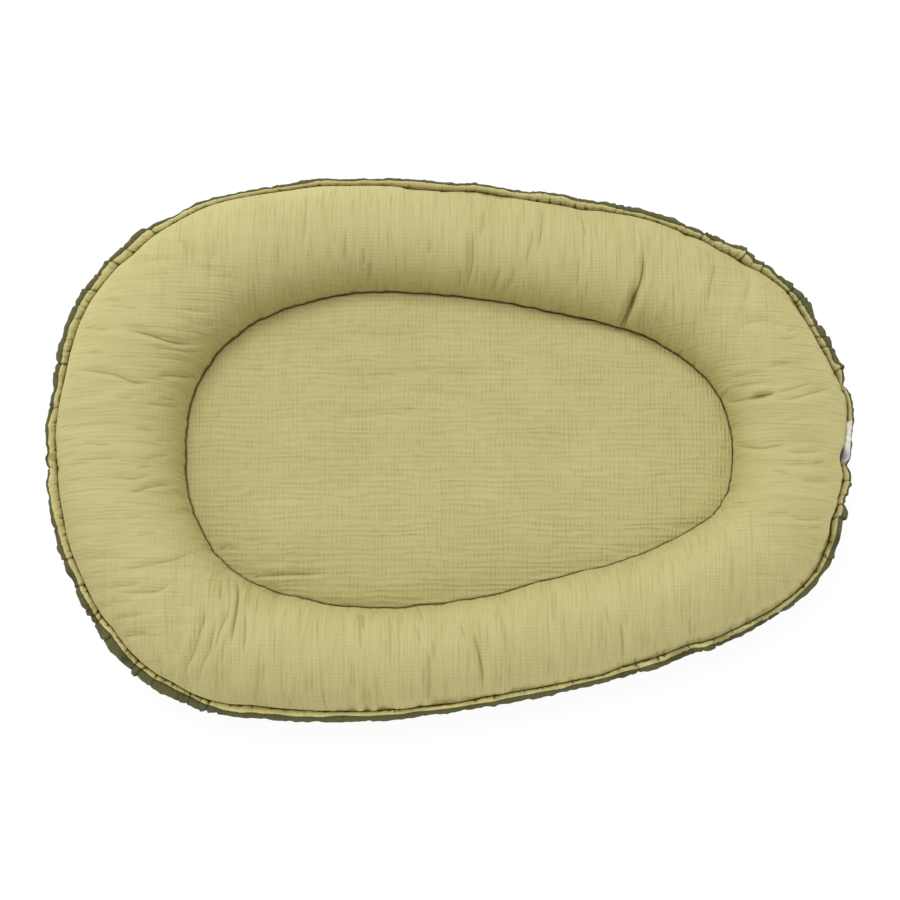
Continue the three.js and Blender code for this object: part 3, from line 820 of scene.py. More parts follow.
RING_COLUMNS = 2600
RING_ROWS = 150
UNDER_COLUMNS = 900
UNDER_ROWS = 60


def ring_grain(u):
    """The share of the ring's crinkles that run along Y, since they cross the ring"""
    out = round_nest(lines.outer, u)[:, :2] - round_nest(lines.inner, u)[:, :2]
    return out[:, 1] ** 2 / (out ** 2).sum(axis=1)


# How far the top of a roll rises, and from where to where its valley sinks, in spreads of the noise
ROLL_RISE = 0.3
VALLEY_START = 0.5
VALLEY_EASE = 1.4


def valleys(noise):
    """Noise whose highest parts are turned into valleys"""
    return -ROLL_RISE * noise - ease((noise - VALLEY_START) / VALLEY_EASE)


# The plan that the crinkles' noise covers, how far they bend as a share of their width, and how many
# bends fit on the plan
PLAN_REACH = 1.0
BEND_SHARE = 0.4
BENDS = 26


def crinkles(points, size_x, size_y, seed):
    """Soft rolls between single sharper valleys, whose grains have these sizes along X and Y"""
    x, y = points[:, 0] / PLAN_REACH + 0.5, points[:, 1] / PLAN_REACH + 0.5
    bend = BEND_SHARE * min(size_x, size_y) / PLAN_REACH
    x = x + bend * wander(x, y, BENDS, BENDS, seed)
    y = y + bend * wander(x, y, BENDS, BENDS, seed + 1)
    columns, rows = round(PLAN_REACH / size_x), round(PLAN_REACH / size_y)
    return valleys(wander(x, y, columns, rows, seed + 2))


# The filling's lumps, the patches where the crinkles are stronger and the folds straight across the
# ring: how many of them go round the nest and lie across the ring
LUMPS = (16, 2)
STRONG_PATCHES = (34, 3)
CROSS_FOLDS = (110, 2)
# The crinkles' least strength, and how much a strong patch adds
CRINKLE_STRENGTH = 0.45
PATCH_STRENGTH = 0.55
# The kinds of crinkles: their share, their length and their width
GATHER_KINDS = ((1, 46 * MM, 8.5 * MM), (0.6, 30 * MM, 5 * MM))
# How far the straight folds waver, as a share of the way round, and how often
FOLD_WAVER = 0.0012
FOLD_WAVERS = (46, 3)
# How many puckers the inner seam has, how deep the cloth is drawn in at the ring's seams, and how far
# from them the rest of its relief is whole
INNER_PUCKERS = 210
INNER_PUCKER_DEPTH = 1.5 * MM
INNER_PUCKER_REACH = 9 * MM
OUTER_PUCKER_DEPTH = 2.2 * MM
SEAM_CALM = 3 * MM


def ring_gathers(points, u, s, cloth, seed):
    """The cloth's height over a smooth ring: lumps of filling, crinkles along the cloth's grain,
    some folds straight across the ring, and the puckers at its seams"""
    grain = ring_grain(u)
    lumps = cloth.lumps * wander(u, s, *LUMPS, seed + 1)
    strength = CRINKLE_STRENGTH + PATCH_STRENGTH * np.abs(wander(u, s, *STRONG_PATCHES, seed + 2))
    along_x, along_y = 0, 0
    for row, (share, length, width) in enumerate(GATHER_KINDS, 1):
        along_x = along_x + share * crinkles(points, length, width, seed + 10 * row)
        along_y = along_y + share * crinkles(points, width, length, seed + 10 * row + 20)
    wavering = u + FOLD_WAVER * wander(u, s, *FOLD_WAVERS, seed)
    radial = valleys(wander(wavering, s, *CROSS_FOLDS, seed + 3))
    height = lumps + strength * (
        cloth.wrinkles * radial + cloth.gathers * ((1 - grain) * along_x + grain * along_y))
    from_inner, from_outer = s * RING_ARC, (1 - s) * RING_ARC
    outer_pucker = puckers(u, from_outer)
    inner_pucker = notches(u, INNER_PUCKERS, seed + 7) * np.exp(-from_inner / INNER_PUCKER_REACH)
    height -= OUTER_PUCKER_DEPTH * outer_pucker + INNER_PUCKER_DEPTH * inner_pucker
    return height * ease(np.minimum(from_inner, from_outer) / SEAM_CALM), outer_pucker


def from_percent(u, percent):
    """How far along the rim shares of the way round lie from a percent of it"""
    return (np.mod(u - percent / 100 + 0.5, 1) - 0.5) * RIM_LENGTH


# A pucker's reach over the ring, how far along the rim it is felt, its half width at the seam and the
# share of the way from the seam that this gains, and how far it slants with its crease
PUCKER_REACH = 7 * MM
PUCKER_SPAN = 12 * MM
PUCKER_HALF = 1.4 * MM
PUCKER_FAN = 0.12
PUCKER_SLANT = 0.25


def puckers(u, from_seam):
    """How far the casing's creases draw the ring's cloth in beside their seam, from 0 to 1"""
    pucker = np.zeros(len(u))
    near_seam = from_seam < 5 * PUCKER_REACH
    for percent, depth, slant in CASING_CREASES:
        way = from_percent(u, percent)
        near = (np.abs(way) < PUCKER_SPAN) & near_seam
        off = way[near] + PUCKER_SLANT * slant * from_seam[near]
        fan = PUCKER_HALF + PUCKER_FAN * from_seam[near]
        drawn = depth * np.exp(-np.abs(off) / fan) * np.exp(-from_seam[near] / PUCKER_REACH)
        pucker[near] = np.maximum(pucker[near], drawn)
    return pucker


NOTCH_NARROWNESS = 1.6
NOTCH_SHARPNESS = 1.5


def notches(u, columns, seed):
    """Sharp dips along a seam, from 0 to 1"""
    dips = 1 - NOTCH_NARROWNESS * np.abs(along_seam(u, columns, seed))
    return np.clip(dips, 0, 1) ** NOTCH_SHARPNESS


# The lines of painted shade beside the ring's seams, where their grooves lie in shade: how dark the inner
# one is, how many uneven places they have and how uneven those are at most. Then their half widths in
# millimetres: the least, what the sides that face the photo's top or bottom add, and what an uneven place
# adds.
INNER_SEAM_SHADE = 0.94
UNEVEN_PLACES = 420
UNEVEN_MOST = 1.6
INNER_LINE_HALF = 0.55
INNER_LINE_FACING = 0.25
INNER_LINE_UNEVEN = 0.5
OUTER_LINE_HALF = 0.4
OUTER_LINE_FACING = 0.8
OUTER_LINE_TURN = 1.2
OUTER_LINE_UNEVEN = 0.6
# Where on the way round the outer line is thinner, how far that reaches, and by what share
THIN_LINE_PLACE = 0.96
THIN_LINE_REACH = 0.03
THIN_LINE_SHARE = 0.5
# The soft shade over the inner seam where it turns away from the light
FAR_SHADE = 0.2
FAR_SHADE_REACH = 20 * MM


def seam_shade(u, s):
    """The painted shade next to the ring's seams, where the cloth is drawn in a little unevenly"""
    uneven = np.minimum(np.abs(wander(u, s, UNEVEN_PLACES, 1, 28)), UNEVEN_MOST)
    north = out_of_nest(u)[:, 1]
    from_inner, from_outer = s * RING_ARC, (1 - s) * RING_ARC
    inner = (INNER_LINE_HALF + INNER_LINE_FACING * np.abs(north) + INNER_LINE_UNEVEN * uneven) * MM
    outer = OUTER_LINE_HALF + OUTER_LINE_FACING * np.clip(OUTER_LINE_TURN + north, 0, 1)
    outer = outer * (1 + OUTER_LINE_UNEVEN * uneven) * MM
    outer *= 1 - THIN_LINE_SHARE * np.exp(-((u - THIN_LINE_PLACE) / THIN_LINE_REACH) ** 2)
    return np.maximum.reduce([
        INNER_SEAM_SHADE * line_shade(from_inner, inner), line_shade(from_outer, outer),
        FAR_SHADE * np.maximum(north, 0) * np.exp(-from_inner / FAR_SHADE_REACH)])


# From how far off the seams the single folds are whole, how dark the puckers' painted shade is, and how
# dark the painted shade is on the cloth that turns in beside the outer seam, away from the light, and how
# far it reaches
FOLD_CALM = 5 * MM
PUCKER_SHADE = 0.7
OUTER_EDGE_SHADE = 0.24
OUTER_EDGE_SHADE_REACH = 14 * MM


def upper_ring_surface(u, s):
    cloth = bpy.context.scene.nest_cloth
    base = ring_skin(u, s, True)
    out = surface_normals(lambda a, b: ring_skin(a, b, True), u, s)
    gathers, pucker = ring_gathers(base, u, s, cloth, 11)
    folds, fold_shade = fold_cloth(base, RING_FOLDS, cloth.fold_depth)
    calm = ease(np.minimum(s, 1 - s) * RING_ARC / FOLD_CALM)
    from_edge = np.maximum(casing_course(u, "seam") - seen_out(base, u), 0)
    # Painted shade where the ring's cloth turns in beside the outer seam, away from the light
    turned = OUTER_EDGE_SHADE * from_table(OUTER_EDGE_SHADES, u) * np.exp(-from_edge / OUTER_EDGE_SHADE_REACH)
    # Painted shade: in the seams' grooves, along the folds, in the puckers and beside the outer seam
    shade = np.maximum.reduce([seam_shade(u, s), fold_shade, PUCKER_SHADE * pucker, turned])
    points = base + out * (gathers + folds * calm)[:, None]
    behind_seam(points, u, s)
    return points, shade


UNDER_SINK = 0.5 * MM
UNDER_CALM_SHARE = 0.05


def under_ring_surface(u, s):
    cloth = bpy.context.scene.nest_cloth
    base = ring_skin(u, s, False)
    out = -surface_normals(lambda a, b: ring_skin(a, b, False), u, s)
    gathers, _ = ring_gathers(base, u, s, cloth, 61)
    calm = ease(np.minimum(s, 1 - s) / UNDER_CALM_SHARE)
    points = base + out * (gathers - UNDER_SINK)[:, None] * calm[:, None]
    points[:, 2] = np.maximum(points[:, 2], GROUND_CLEARANCE)
    return points, seam_shade(u, s)


# The floor


FLOOR_COLUMNS = 300
FLOOR_ROWS = 180
# The share of the floor's crinkles that run along Y, and how flat its rise is in the middle and how
# round at its edge
FLOOR_GRAIN = 0.22
FLOOR_EDGE_POWER = 4.5
FLOOR_EDGE_ROUND = 0.75


def floor_outline():
    """The floor's middle, and its reach to the inner seam at each direction"""
    middle = (lines.inner.min(0) + lines.inner.max(0))[:2] / 2
    way = lines.inner[:, :2] - middle
    turn = np.arctan2(way[:, 1], way[:, 0])
    order = np.argsort(turn)
    return middle, turn[order], np.linalg.norm(way, axis=1)[order]


def floor_places(grid):
    """Grid places from -1 to 1 spread over the floor: plan points and shares of the way out"""
    middle, turns, reaches = floor_outline()
    out_share = np.abs(grid).max(axis=1)
    turn = np.arctan2(grid[:, 1], grid[:, 0])
    reach = np.interp(turn, turns, reaches, period=2 * math.pi) - SEAM_HALF
    way = np.column_stack([np.cos(turn), np.sin(turn)]) * (reach * out_share)[:, None]
    return middle + way, out_share, reach * (1 - out_share), turn / (2 * math.pi)


def floor_fullness(share):
    return np.clip(1 - share ** FLOOR_EDGE_POWER, 0, 1) ** FLOOR_EDGE_ROUND


# The floor's cloth is sewn in a little too large, so that its padding draws it up in wrinkles. The
# blurs, which part the wrinkles from the swelling, are in cells.
SETTLE_CELL = 5 * MM
SETTLE_MARGIN = 14 * MM
SETTLE_HELD = 2.5 * MM
SETTLE_FRAMES = 20
SETTLE_PRESSURE = 4
SETTLE_SPARE_SHARE = 0.01
SETTLE_STIFFNESS = 15
SETTLE_BENDING = 0.05
SETTLE_MASS = 0.15
SETTLE_FINE_BLUR = 0.7
SETTLE_BLUR = 5
SETTLE_CAP = 1.3 * MM


def blurred(field, reach):
    """A grid's values averaged with their neighbours over a number of cells"""
    side = math.ceil(3 * reach)
    weights = np.exp(-(np.arange(-side, side + 1) / reach) ** 2 / 2)
    weights /= weights.sum()
    for axis in (0, 1):
        field = np.apply_along_axis(
            lambda row: np.convolve(np.pad(row, side, mode="edge"), weights, "valid"), axis, field)
    return field


def sampled(field, share):
    """A grid's values between its points, at shares of its width and height"""
    last = np.array(field.shape[::-1]) - 1
    place = np.clip(share, 0, 1) * last
    x, y = np.minimum(place.astype(int), last - 1).T
    over, up = place[:, 0] - x, place[:, 1] - y
    lower = field[y, x] * (1 - over) + field[y, x + 1] * over
    upper = field[y + 1, x] * (1 - over) + field[y + 1, x + 1] * over
    return lower * (1 - up) + upper * up


def settled_wrinkles(plan):
    """The wrinkles of the floor's cloth at points of the plan. A sheet over the floor is held at its
    seam and blown up by Blender's cloth simulation, and its swelling as a whole is left out, because
    the padding gives that."""
    middle, turns, reaches = floor_outline()
    half = np.ptp(lines.inner[:, :2], axis=0) / 2 + SETTLE_MARGIN
    counts = np.round(2 * half / SETTLE_CELL).astype(int).tolist()
    bm = grid_mesh(*counts)
    grid = grid_places(bm)
    way = grid * half
    turn = np.arctan2(way[:, 1], way[:, 0])
    reach = np.interp(turn, turns, reaches, period=2 * math.pi)
    out = np.linalg.norm(way, axis=1)
    height = bpy.context.scene.nest_cloth.floor_crown * floor_fullness(np.clip(out / reach, 0, 1))
    lay_out(bm, np.column_stack([middle + way, height]), {})
    mesh = bpy.data.meshes.new("settling_cloth")
    bm.to_mesh(mesh)
    bm.free()
    sheet = bpy.data.objects.new("settling_cloth", mesh)
    bpy.context.collection.objects.link(sheet)
    held = sheet.vertex_groups.new(name="seam")
    held.add(np.flatnonzero(reach - out < SETTLE_HELD).tolist(), 1, "REPLACE")
    cloth = sheet.modifiers.new("Cloth", "CLOTH").settings
    cloth.mass = SETTLE_MASS
    cloth.tension_stiffness = cloth.compression_stiffness = cloth.shear_stiffness = SETTLE_STIFFNESS
    cloth.bending_stiffness = SETTLE_BENDING
    cloth.shrink_min = -SETTLE_SPARE_SHARE
    cloth.vertex_group_mass = held.name
    cloth.use_pressure = True
    cloth.uniform_pressure_force = SETTLE_PRESSURE
    cloth.effector_weights.gravity = 0
    view = bpy.context.scene
    for step in range(1, SETTLE_FRAMES + 1):
        view.frame_set(step)
    shown = sheet.evaluated_get(bpy.context.evaluated_depsgraph_get())
    rise = np.array([vertex.co[2] for vertex in shown.data.vertices]) - height
    view.frame_set(1)
    bpy.data.objects.remove(sheet)
    bpy.data.meshes.remove(mesh)
    field = rise[np.lexsort((grid[:, 0], grid[:, 1]))].reshape(counts[1] + 1, counts[0] + 1)
    field = blurred(field, SETTLE_FINE_BLUR) - blurred(field, SETTLE_BLUR)
    share = (plan - middle) / (2 * half) + 0.5
    return np.clip(sampled(field, share), -SETTLE_CAP, SETTLE_CAP)


# The floor's soft lumps, over a plan of this size: their height and how many lie along X and Y
FLOOR_SPAN = (0.7, 0.5)
FLOOR_LUMPS = ((1.1 * MM, 7, 5), (0.5 * MM, 18, 16))
# Its ripples, the puckers at its seam, and the share of the wrinkles in its middle and toward its edge
RIPPLE_HEIGHT = 0.18 * MM
RIPPLE_SIZE = (20 * MM, 6 * MM)
FLOOR_PUCKERS = 190
FLOOR_PUCKER_DEPTH = 0.8 * MM
FLOOR_PUCKER_REACH = 8 * MM
WRINKLE_SHARE = 0.22
EDGE_WRINKLE_SHARE = 0.78
EDGE_WRINKLE_REACH = 42 * MM
# From how far off the seam each of them is whole
LUMP_CALM = 12 * MM
WRINKLE_CALM = 7 * MM
FLOOR_FOLD_CALM = 8 * MM
# The least share of the floor's rise that a dip leaves, and how far its edge is tucked in under the
# ring and down
LOWEST_DIP = 0.3
EDGE_TUCK = 1.4 * MM
EDGE_SINK = 0.7
TUCK_REACH = 1.5 * MM
# How dark the painted shade is that stands for the ring's shadow on the floor's near and left sides and
# how far each of its parts reaches, and the left side's share of them
FLOOR_DIMS = ((0.1, 50 * MM), (0.1, 10 * MM))
LEFT_DIM_SHARE = 0.6


def upper_floor_points(grid):
    cloth = bpy.context.scene.nest_cloth
    plan, share, from_seam, turn = floor_places(grid)
    edge = lines.inner[:, 2].mean() + SEAM_LAP
    height = edge + cloth.floor_crown * floor_fullness(share)
    x, y = (plan / FLOOR_SPAN + 0.5).T
    lumps = sum(rise * wander(x, y, columns, rows, seed)
                for seed, (rise, columns, rows) in enumerate(FLOOR_LUMPS, 101))
    ripples = RIPPLE_HEIGHT * crinkles(plan, *RIPPLE_SIZE, 103)
    puckers = notches(turn, FLOOR_PUCKERS, 104) * np.exp(-from_seam / FLOOR_PUCKER_REACH)
    edge_share = EDGE_WRINKLE_SHARE * np.exp(-from_seam / EDGE_WRINKLE_REACH)
    wrinkles = settled_wrinkles(plan) * (WRINKLE_SHARE + edge_share)
    rise = (lumps + ripples - FLOOR_PUCKER_DEPTH * puckers) * ease(from_seam / LUMP_CALM)
    rise += wrinkles * ease(from_seam / WRINKLE_CALM)
    points = np.column_stack([plan, height + rise])
    folds, fold_shade = fold_cloth(points, FLOOR_FOLDS, cloth.fold_depth)
    points[:, 2] += folds * ease(from_seam / FLOOR_FOLD_CALM)
    points[:, 2] = np.maximum(points[:, 2], edge + LOWEST_DIP * (height - edge))
    right, north = np.cos(2 * math.pi * turn), np.sin(2 * math.pi * turn)
    tucked = 1 - ease(from_seam / TUCK_REACH)
    points += np.column_stack([right, north, 0 * right - EDGE_SINK]) * (EDGE_TUCK * tucked)[:, None]
    # Painted shade for the ring's shadow on the floor's near and left sides
    dim = sum(shade * np.exp(-from_seam / reach) for shade, reach in FLOOR_DIMS)
    dim = dim * np.clip(-north - LEFT_DIM_SHARE * right, 0, 1)
    # Painted shade: the inner seam's on the tucked edge, the folds' lines, and the ring's shadow near and
    # left
    return points, np.maximum.reduce([INNER_SEAM_SHADE * tucked, fold_shade, dim])


# The half width of the painted shade along the under floor's seam
UNDER_LINE_HALF = 1.6 * MM


def under_floor_points(grid):
    plan, share, from_seam, _ = floor_places(grid)
    edge = lines.inner[:, 2].mean() - SEAM_LAP
    height = edge + (GROUND_CLEARANCE - edge) * floor_fullness(share)
    return np.column_stack([plan, height]), line_shade(from_seam, UNDER_LINE_HALF)


def floor_body(name, columns, rows, surface, material):
    """A floor cover with the padding that it holds, closed flat at its seam"""
    bm = grid_mesh(columns, rows)
    points, shade = surface(grid_places(bm))
    lay_out(bm, points, {SHADE: shade, GRAIN: np.full(len(points), FLOOR_GRAIN)})
    bmesh.ops.holes_fill(bm, edges=[edge for edge in bm.edges if edge.is_boundary], sides=0)
    bmesh.ops.recalc_face_normals(bm, faces=bm.faces)
    return finished(bm, name, material)


# The casing


CASING_COLUMNS = 2800
CASING_ROWS = 14
# A strip's flat width and its length before it is gathered
STRIP_THICKNESS = 0.8 * MM
STRIP_ARC = 17 * MM
# How far the casing leans over the ring, and between which shares of look_down it starts and is whole
CASING_LEAN = math.radians(50)
LEAN_RISES = (-0.08, 0.14)
CASING_FLATNESS = 0.86
CASING_LEAST_HALF = 3.8 * MM


class CasingSizes(NamedTuple):
    """The casing's section at places round the nest: how far out its middle lies and how far it
    leans over the ring, its half width and height, and the angles of its seam and of its join"""
    middle: np.ndarray
    lean: np.ndarray
    half_width: np.ndarray
    half_height: np.ndarray
    seam_turn: np.ndarray
    join_turn: np.ndarray


def casing_sizes(u):
    """The section that shows the casing's courses where they are on the photo. Where the camera
    looks over the ring the casing leans on it, and where it sees the seam the casing lies flatter."""
    seam, join, edge = (casing_course(u, name) for name in ("seam", "join", "edge"))
    rise = look_down(u)
    upright, leaning = LEAN_RISES
    lean = CASING_LEAN * ease((rise - upright) / (leaning - upright))
    lift = rise * CASING_FLATNESS
    reach = np.hypot(1, lift)
    half_width = (edge - seam) / (np.cos(lean) + lift * np.sin(lean) + reach)
    half_width = np.maximum(half_width, CASING_LEAST_HALF)
    shown = edge - half_width * reach
    join_turn = np.arctan(lift) + np.arccos(np.clip((join - shown) / (half_width * reach), -1, 1))
    return CasingSizes(shown - lift * np.sin(lean) * half_width, lean, half_width,
                       half_width * CASING_FLATNESS, math.pi + lean, join_turn)


def casing_middle(u, sizes):
    """The middle line of the casing"""
    rim = round_nest(lines.outer, u)
    level = rim[:, 2] + sizes.half_height * np.sin(sizes.lean)
    return np.column_stack([rim[:, :2] + out_of_nest(u) * sizes.middle[:, None], level])


# Where the edge is smooth and the creases end within the light strip, in percents of the way round
SMOOTH_EDGES = ((16, 38), (48.5, 51), (64.5, 85))
# A crease runs over a part of the way over the casing, which is 0 beside the seam and 1 at the edge.
# Two places lie well past either end, and between two limits lie the other ends of a crease's part.
BEFORE_SEAM = -2
PAST_EDGE = 3
SEAM_PART_ENDS = (0.2, 0.5)
EDGE_PART_STARTS = (0, 0.3)
# Limits for how far a crease's slant strays and it bows, in pixels
SLANT_STRAYS = (-1.5, 1.5)
BOWS = (-2.5, 2.5)
# Limits for a lesser crease: how far its place strays, in percents of the way round, the middle of its
# part, its share of the depth, its slant and its bow, and half the length of its part
LESSER_STRAYS = (-0.45, 0.45)
LESSER_MIDDLES = (-0.2, 0.8)
LESSER_DEPTHS = (0.25, 0.6)
LESSER_SLANTS = (-5, 5)
LESSER_BOWS = (-2, 2)
LESSER_HALF = 0.4
# How deep a crease is that runs over the whole casing, and one that has two lesser ones beside it
WHOLE_DEPTH = 1
TWO_LESSER_DEPTH = 0.6


def all_creases():
    """The read creases, each with how far it bows and over what part of the strip it runs, and
    between them lesser ones that the photo is too coarse to give singly"""
    chance = np.random.default_rng(5)
    creases = []
    for percent, depth, slant in CASING_CREASES:
        kind = chance.integers(4) if depth < WHOLE_DEPTH else 3
        seam_part = (BEFORE_SEAM, chance.uniform(*SEAM_PART_ENDS))
        edge_part = (chance.uniform(*EDGE_PART_STARTS), PAST_EDGE)
        part = (seam_part, seam_part, edge_part, (BEFORE_SEAM, PAST_EDGE))[kind]
        if any(low < percent < high for low, high in SMOOTH_EDGES):
            part = seam_part
        slant += chance.uniform(*SLANT_STRAYS)
        creases.append((percent, depth, slant, chance.uniform(*BOWS), *part))
        for _ in range(1 + (depth > TWO_LESSER_DEPTH)):
            place = percent + chance.uniform(*LESSER_STRAYS)
            middle = chance.uniform(*LESSER_MIDDLES)
            creases.append((place, depth * chance.uniform(*LESSER_DEPTHS), chance.uniform(*LESSER_SLANTS),
                            chance.uniform(*LESSER_BOWS), middle - LESSER_HALF, middle + LESSER_HALF))
    return creases


ALL_CREASES = all_creases()

# How far along the rim a crease is felt, the angle at which it starts, how softly its ends fade, and
# how wide it is on the side that laps over and on the other, and where the lap's lip is and how wide
CREASE_SPAN = 16 * MM
CREASE_ROOT = math.radians(140)
CREASE_END = 0.3
LAPPED_REACH = 0.8 * MM
OPEN_REACH = 2.4 * MM
LAP_PLACE = 2.2 * MM
LAP_HALF = 1.5 * MM
# Its line of painted shade is a wedge: its half width, what it gains beside the seam and at the edge, how
# soon the first tapers and where the second begins, and how much paler the line is halfway
WEDGE_HALF = 0.5 * MM
WEDGE_AT_SEAM = 1.1 * MM
WEDGE_AT_EDGE = 0.8 * MM
WEDGE_TAPER = 1.4
WEDGE_EDGE_START = 0.5
LINE_FADE = 0.5


def casing_creases(u, turn):
    """How deep the casing's cloth lies in its creases, from 0 to 1, how far it laps over them, and
    how dark the painted shade in them is"""
    crease, lap, dark = np.zeros(len(u)), np.zeros(len(u)), np.zeros(len(u))
    rolled = np.clip((CREASE_ROOT - turn) / CREASE_ROOT, -CREASE_END, 1)
    for percent, depth, slant, bow, start, end in ALL_CREASES:
        way = from_percent(u, percent)
        near = np.abs(way) < CREASE_SPAN
        run = rolled[near]
        arched = np.sin(math.pi * np.clip(run, 0, 1))
        off = way[near] - slant * PIXEL * run - bow * PIXEL * arched
        lapped = off * (1 if slant >= 0 else -1)
        deep = depth * ease((run - start) / CREASE_END) * ease((end - run) / CREASE_END)
        reach = np.where(lapped > 0, LAPPED_REACH, OPEN_REACH)
        crease[near] = np.maximum(crease[near], deep * np.exp(-np.abs(lapped) / reach))
        wedge = (WEDGE_HALF + WEDGE_AT_SEAM * np.clip(1 - WEDGE_TAPER * run, 0, 1)
                 + WEDGE_AT_EDGE * ease((run - WEDGE_EDGE_START) / CREASE_END))
        faded = deep * (1 - LINE_FADE * arched)
        dark[near] = np.maximum(dark[near], faded * np.exp(-(off / wedge) ** 2))
        lip = np.exp(-((lapped - LAP_PLACE) / LAP_HALF) ** 2)
        lap[near] = np.maximum(lap[near], deep * lip)
    return crease, lap, dark


# How high the casing rises over its creases, in its finest gathers and in its puffs, how many of
# these go round the nest, and how far along it a puff slants
LAP_HEIGHT = 0.9 * MM
GATHER_HEIGHT = 0.4 * MM
GATHERS = (700, 6)
PUFF_HEIGHT = 0.8 * MM
PUFFS = (270, 4)
PUFF_SLANT = 0.006
# How dark the painted shade in the hollows between the puffs is, from what depth on, and how far from
# the seam the casing is whole
HOLLOW_SHADE = 0.4
HOLLOW_DEPTH = 1.5
CASING_CALM = 3 * MM


def casing_section(u, turn, over=0, is_creased=True):
    """Points of the gathered casing at angles up from straight out, and the painted shade of its creases and
    hollows
    """
    casing = bpy.context.scene.nest_casing
    sizes = casing_sizes(u)
    sink = 0 * u - over
    dark = 0 * u
    if is_creased:
        crease, lap, dark = casing_creases(u, turn)
        around = turn / (2 * math.pi) + 0.5
        gathered = wander(u, around, *GATHERS, 9)
        puffed = wander(u + PUFF_SLANT * around, around, *PUFFS, 19) * from_table(CASING_PUFFS, u)
        sink = casing.crease_depth * crease - LAP_HEIGHT * lap
        sink = sink - GATHER_HEIGHT * gathered - PUFF_HEIGHT * puffed
        dark = np.maximum(dark, HOLLOW_SHADE * ease(-puffed / HOLLOW_DEPTH))
        room = 2 * sizes.half_width - casing.cord_diameter - 3 * STRIP_THICKNESS
        off_seam = (turn - sizes.seam_turn + math.pi) % (2 * math.pi) - math.pi
        sink = np.minimum(sink, room) * ease(np.abs(off_seam) * sizes.half_width / CASING_CALM)
    points = casing_middle(u, sizes)
    points[:, :2] += out_of_nest(u) * ((sizes.half_width - sink) * np.cos(turn))[:, None]
    points[:, 2] += (sizes.half_height - sink) * np.sin(turn)
    return points, dark


# How far past the seam the light strip starts, how the join wavers, and how it is tucked in
SEAM_TURN_IN = math.radians(14)
JOIN_WAVER = math.radians(4)
JOIN_WAVERS = 260
JOIN_TUCK = 1.2 * MM
JOIN_TUCK_HALF = 0.9 * MM
# The line of painted shade beside the casing's seam, in millimetres: its width, and what it gains where
# the seam starts farther in and where the cloth is drawn in. It starts to fade at a number of widths.
CASING_LINE = 0.6
CASING_LINE_HIDDEN = 0.5
CASING_LINE_UNEVEN = 0.9
CASING_LINE_WIDTHS = 1.2
# How dark the creases' painted shade is, from what depth on, and over what share of the light strip
# the painted shade beside the seam reaches
CREASE_SHADE = 0.9
CREASE_SHADE_DEPTH = 0.8
STRIP_SEAM_SHADE_SHARE = 0.75


def casing_strip(name, is_upper, material):
    """One strip of the casing, from the seam of the ring to the join, where it is tucked in"""
    bm = grid_mesh(CASING_COLUMNS, CASING_ROWS)
    u, share = grid_shares(bm)
    sizes = casing_sizes(u)
    join = sizes.join_turn + JOIN_WAVER * along_seam(u, JOIN_WAVERS, 21)
    start = sizes.seam_turn + (SEAM_TURN_IN if is_upper else -2 * math.pi)
    turn = start + (join - start) * share
    points, dark = casing_section(u, turn)
    tuck = np.exp(-((1 - share) * STRIP_ARC / JOIN_TUCK_HALF) ** 2) * JOIN_TUCK
    points += unit(casing_middle(u, sizes) - points) * tuck[:, None]
    from_seam = seen_out(points, u) - casing_course(u, "seam")
    hidden = np.clip(from_table(SEAM_LINE_STARTS, u), 0, 1)
    uneven = np.abs(along_seam(u, UNEVEN_PLACES, 27))
    drawn = (CASING_LINE + CASING_LINE_HIDDEN * hidden + CASING_LINE_UNEVEN * uneven) * MM
    # Painted shade in the creases and along the casing's seam
    shade = np.maximum(CREASE_SHADE * ease(dark / CREASE_SHADE_DEPTH),
                       ease(CASING_LINE_WIDTHS - from_seam / drawn))
    if is_upper:
        # Painted shade on the light strip beside the seam, fading outward
        way_out = from_seam / (casing_course(u, "join") - casing_course(u, "seam"))
        dip = from_table(STRIP_SEAM_SHADE, u) * np.clip(1 - way_out / STRIP_SEAM_SHADE_SHARE, 0, 1)
        shade = np.maximum(shade, dip)
    # Painted light, which makes the light strip paler at places round the rim, most where the ring shades it
    painted_light = from_table(STRIP_PAINTED_LIGHT, u) if is_upper else 0 * u
    lay_out(bm, points, {SHADE: shade, GRAIN: ring_grain(u), PAINTED_LIGHT: painted_light})
    strip = closed(bm, name, material)
    wall = strip.modifiers.new("Cloth thickness", "SOLIDIFY")
    wall.thickness = STRIP_THICKNESS
    wall.offset = -1
    return strip


# The drawstring, the stitches and the label


CORD_STATIONS = 1200
CORD_SIDES = 12


def drawstring_body(material):
    """The cord, which lies against the seam's side of the casing"""
    diameter = bpy.context.scene.nest_casing.cord_diameter
    bm = grid_mesh(CORD_STATIONS, CORD_SIDES)
    u, around = grid_shares(bm)
    turn = 2 * math.pi * around
    sizes = casing_sizes(u)
    spare = np.maximum(sizes.half_height - diameter / 2 - 2 * STRIP_THICKNESS, 0)
    away = spare * np.cos(sizes.seam_turn) + diameter / 2 * np.cos(turn)
    points = casing_middle(u, sizes)
    points[:, :2] += out_of_nest(u) * away[:, None]
    points[:, 2] += spare * np.sin(sizes.seam_turn) + diameter / 2 * np.sin(turn)
    lay_out(bm, points, {})
    return closed(bm, "drawstring_cord", material)


STITCH_SHARE = 0.82
STITCH_THICKNESS = 0.55 * MM
# How far before and after a stitch its seam's way is taken, as a share of a stitch
WAY_SHARE = 0.3


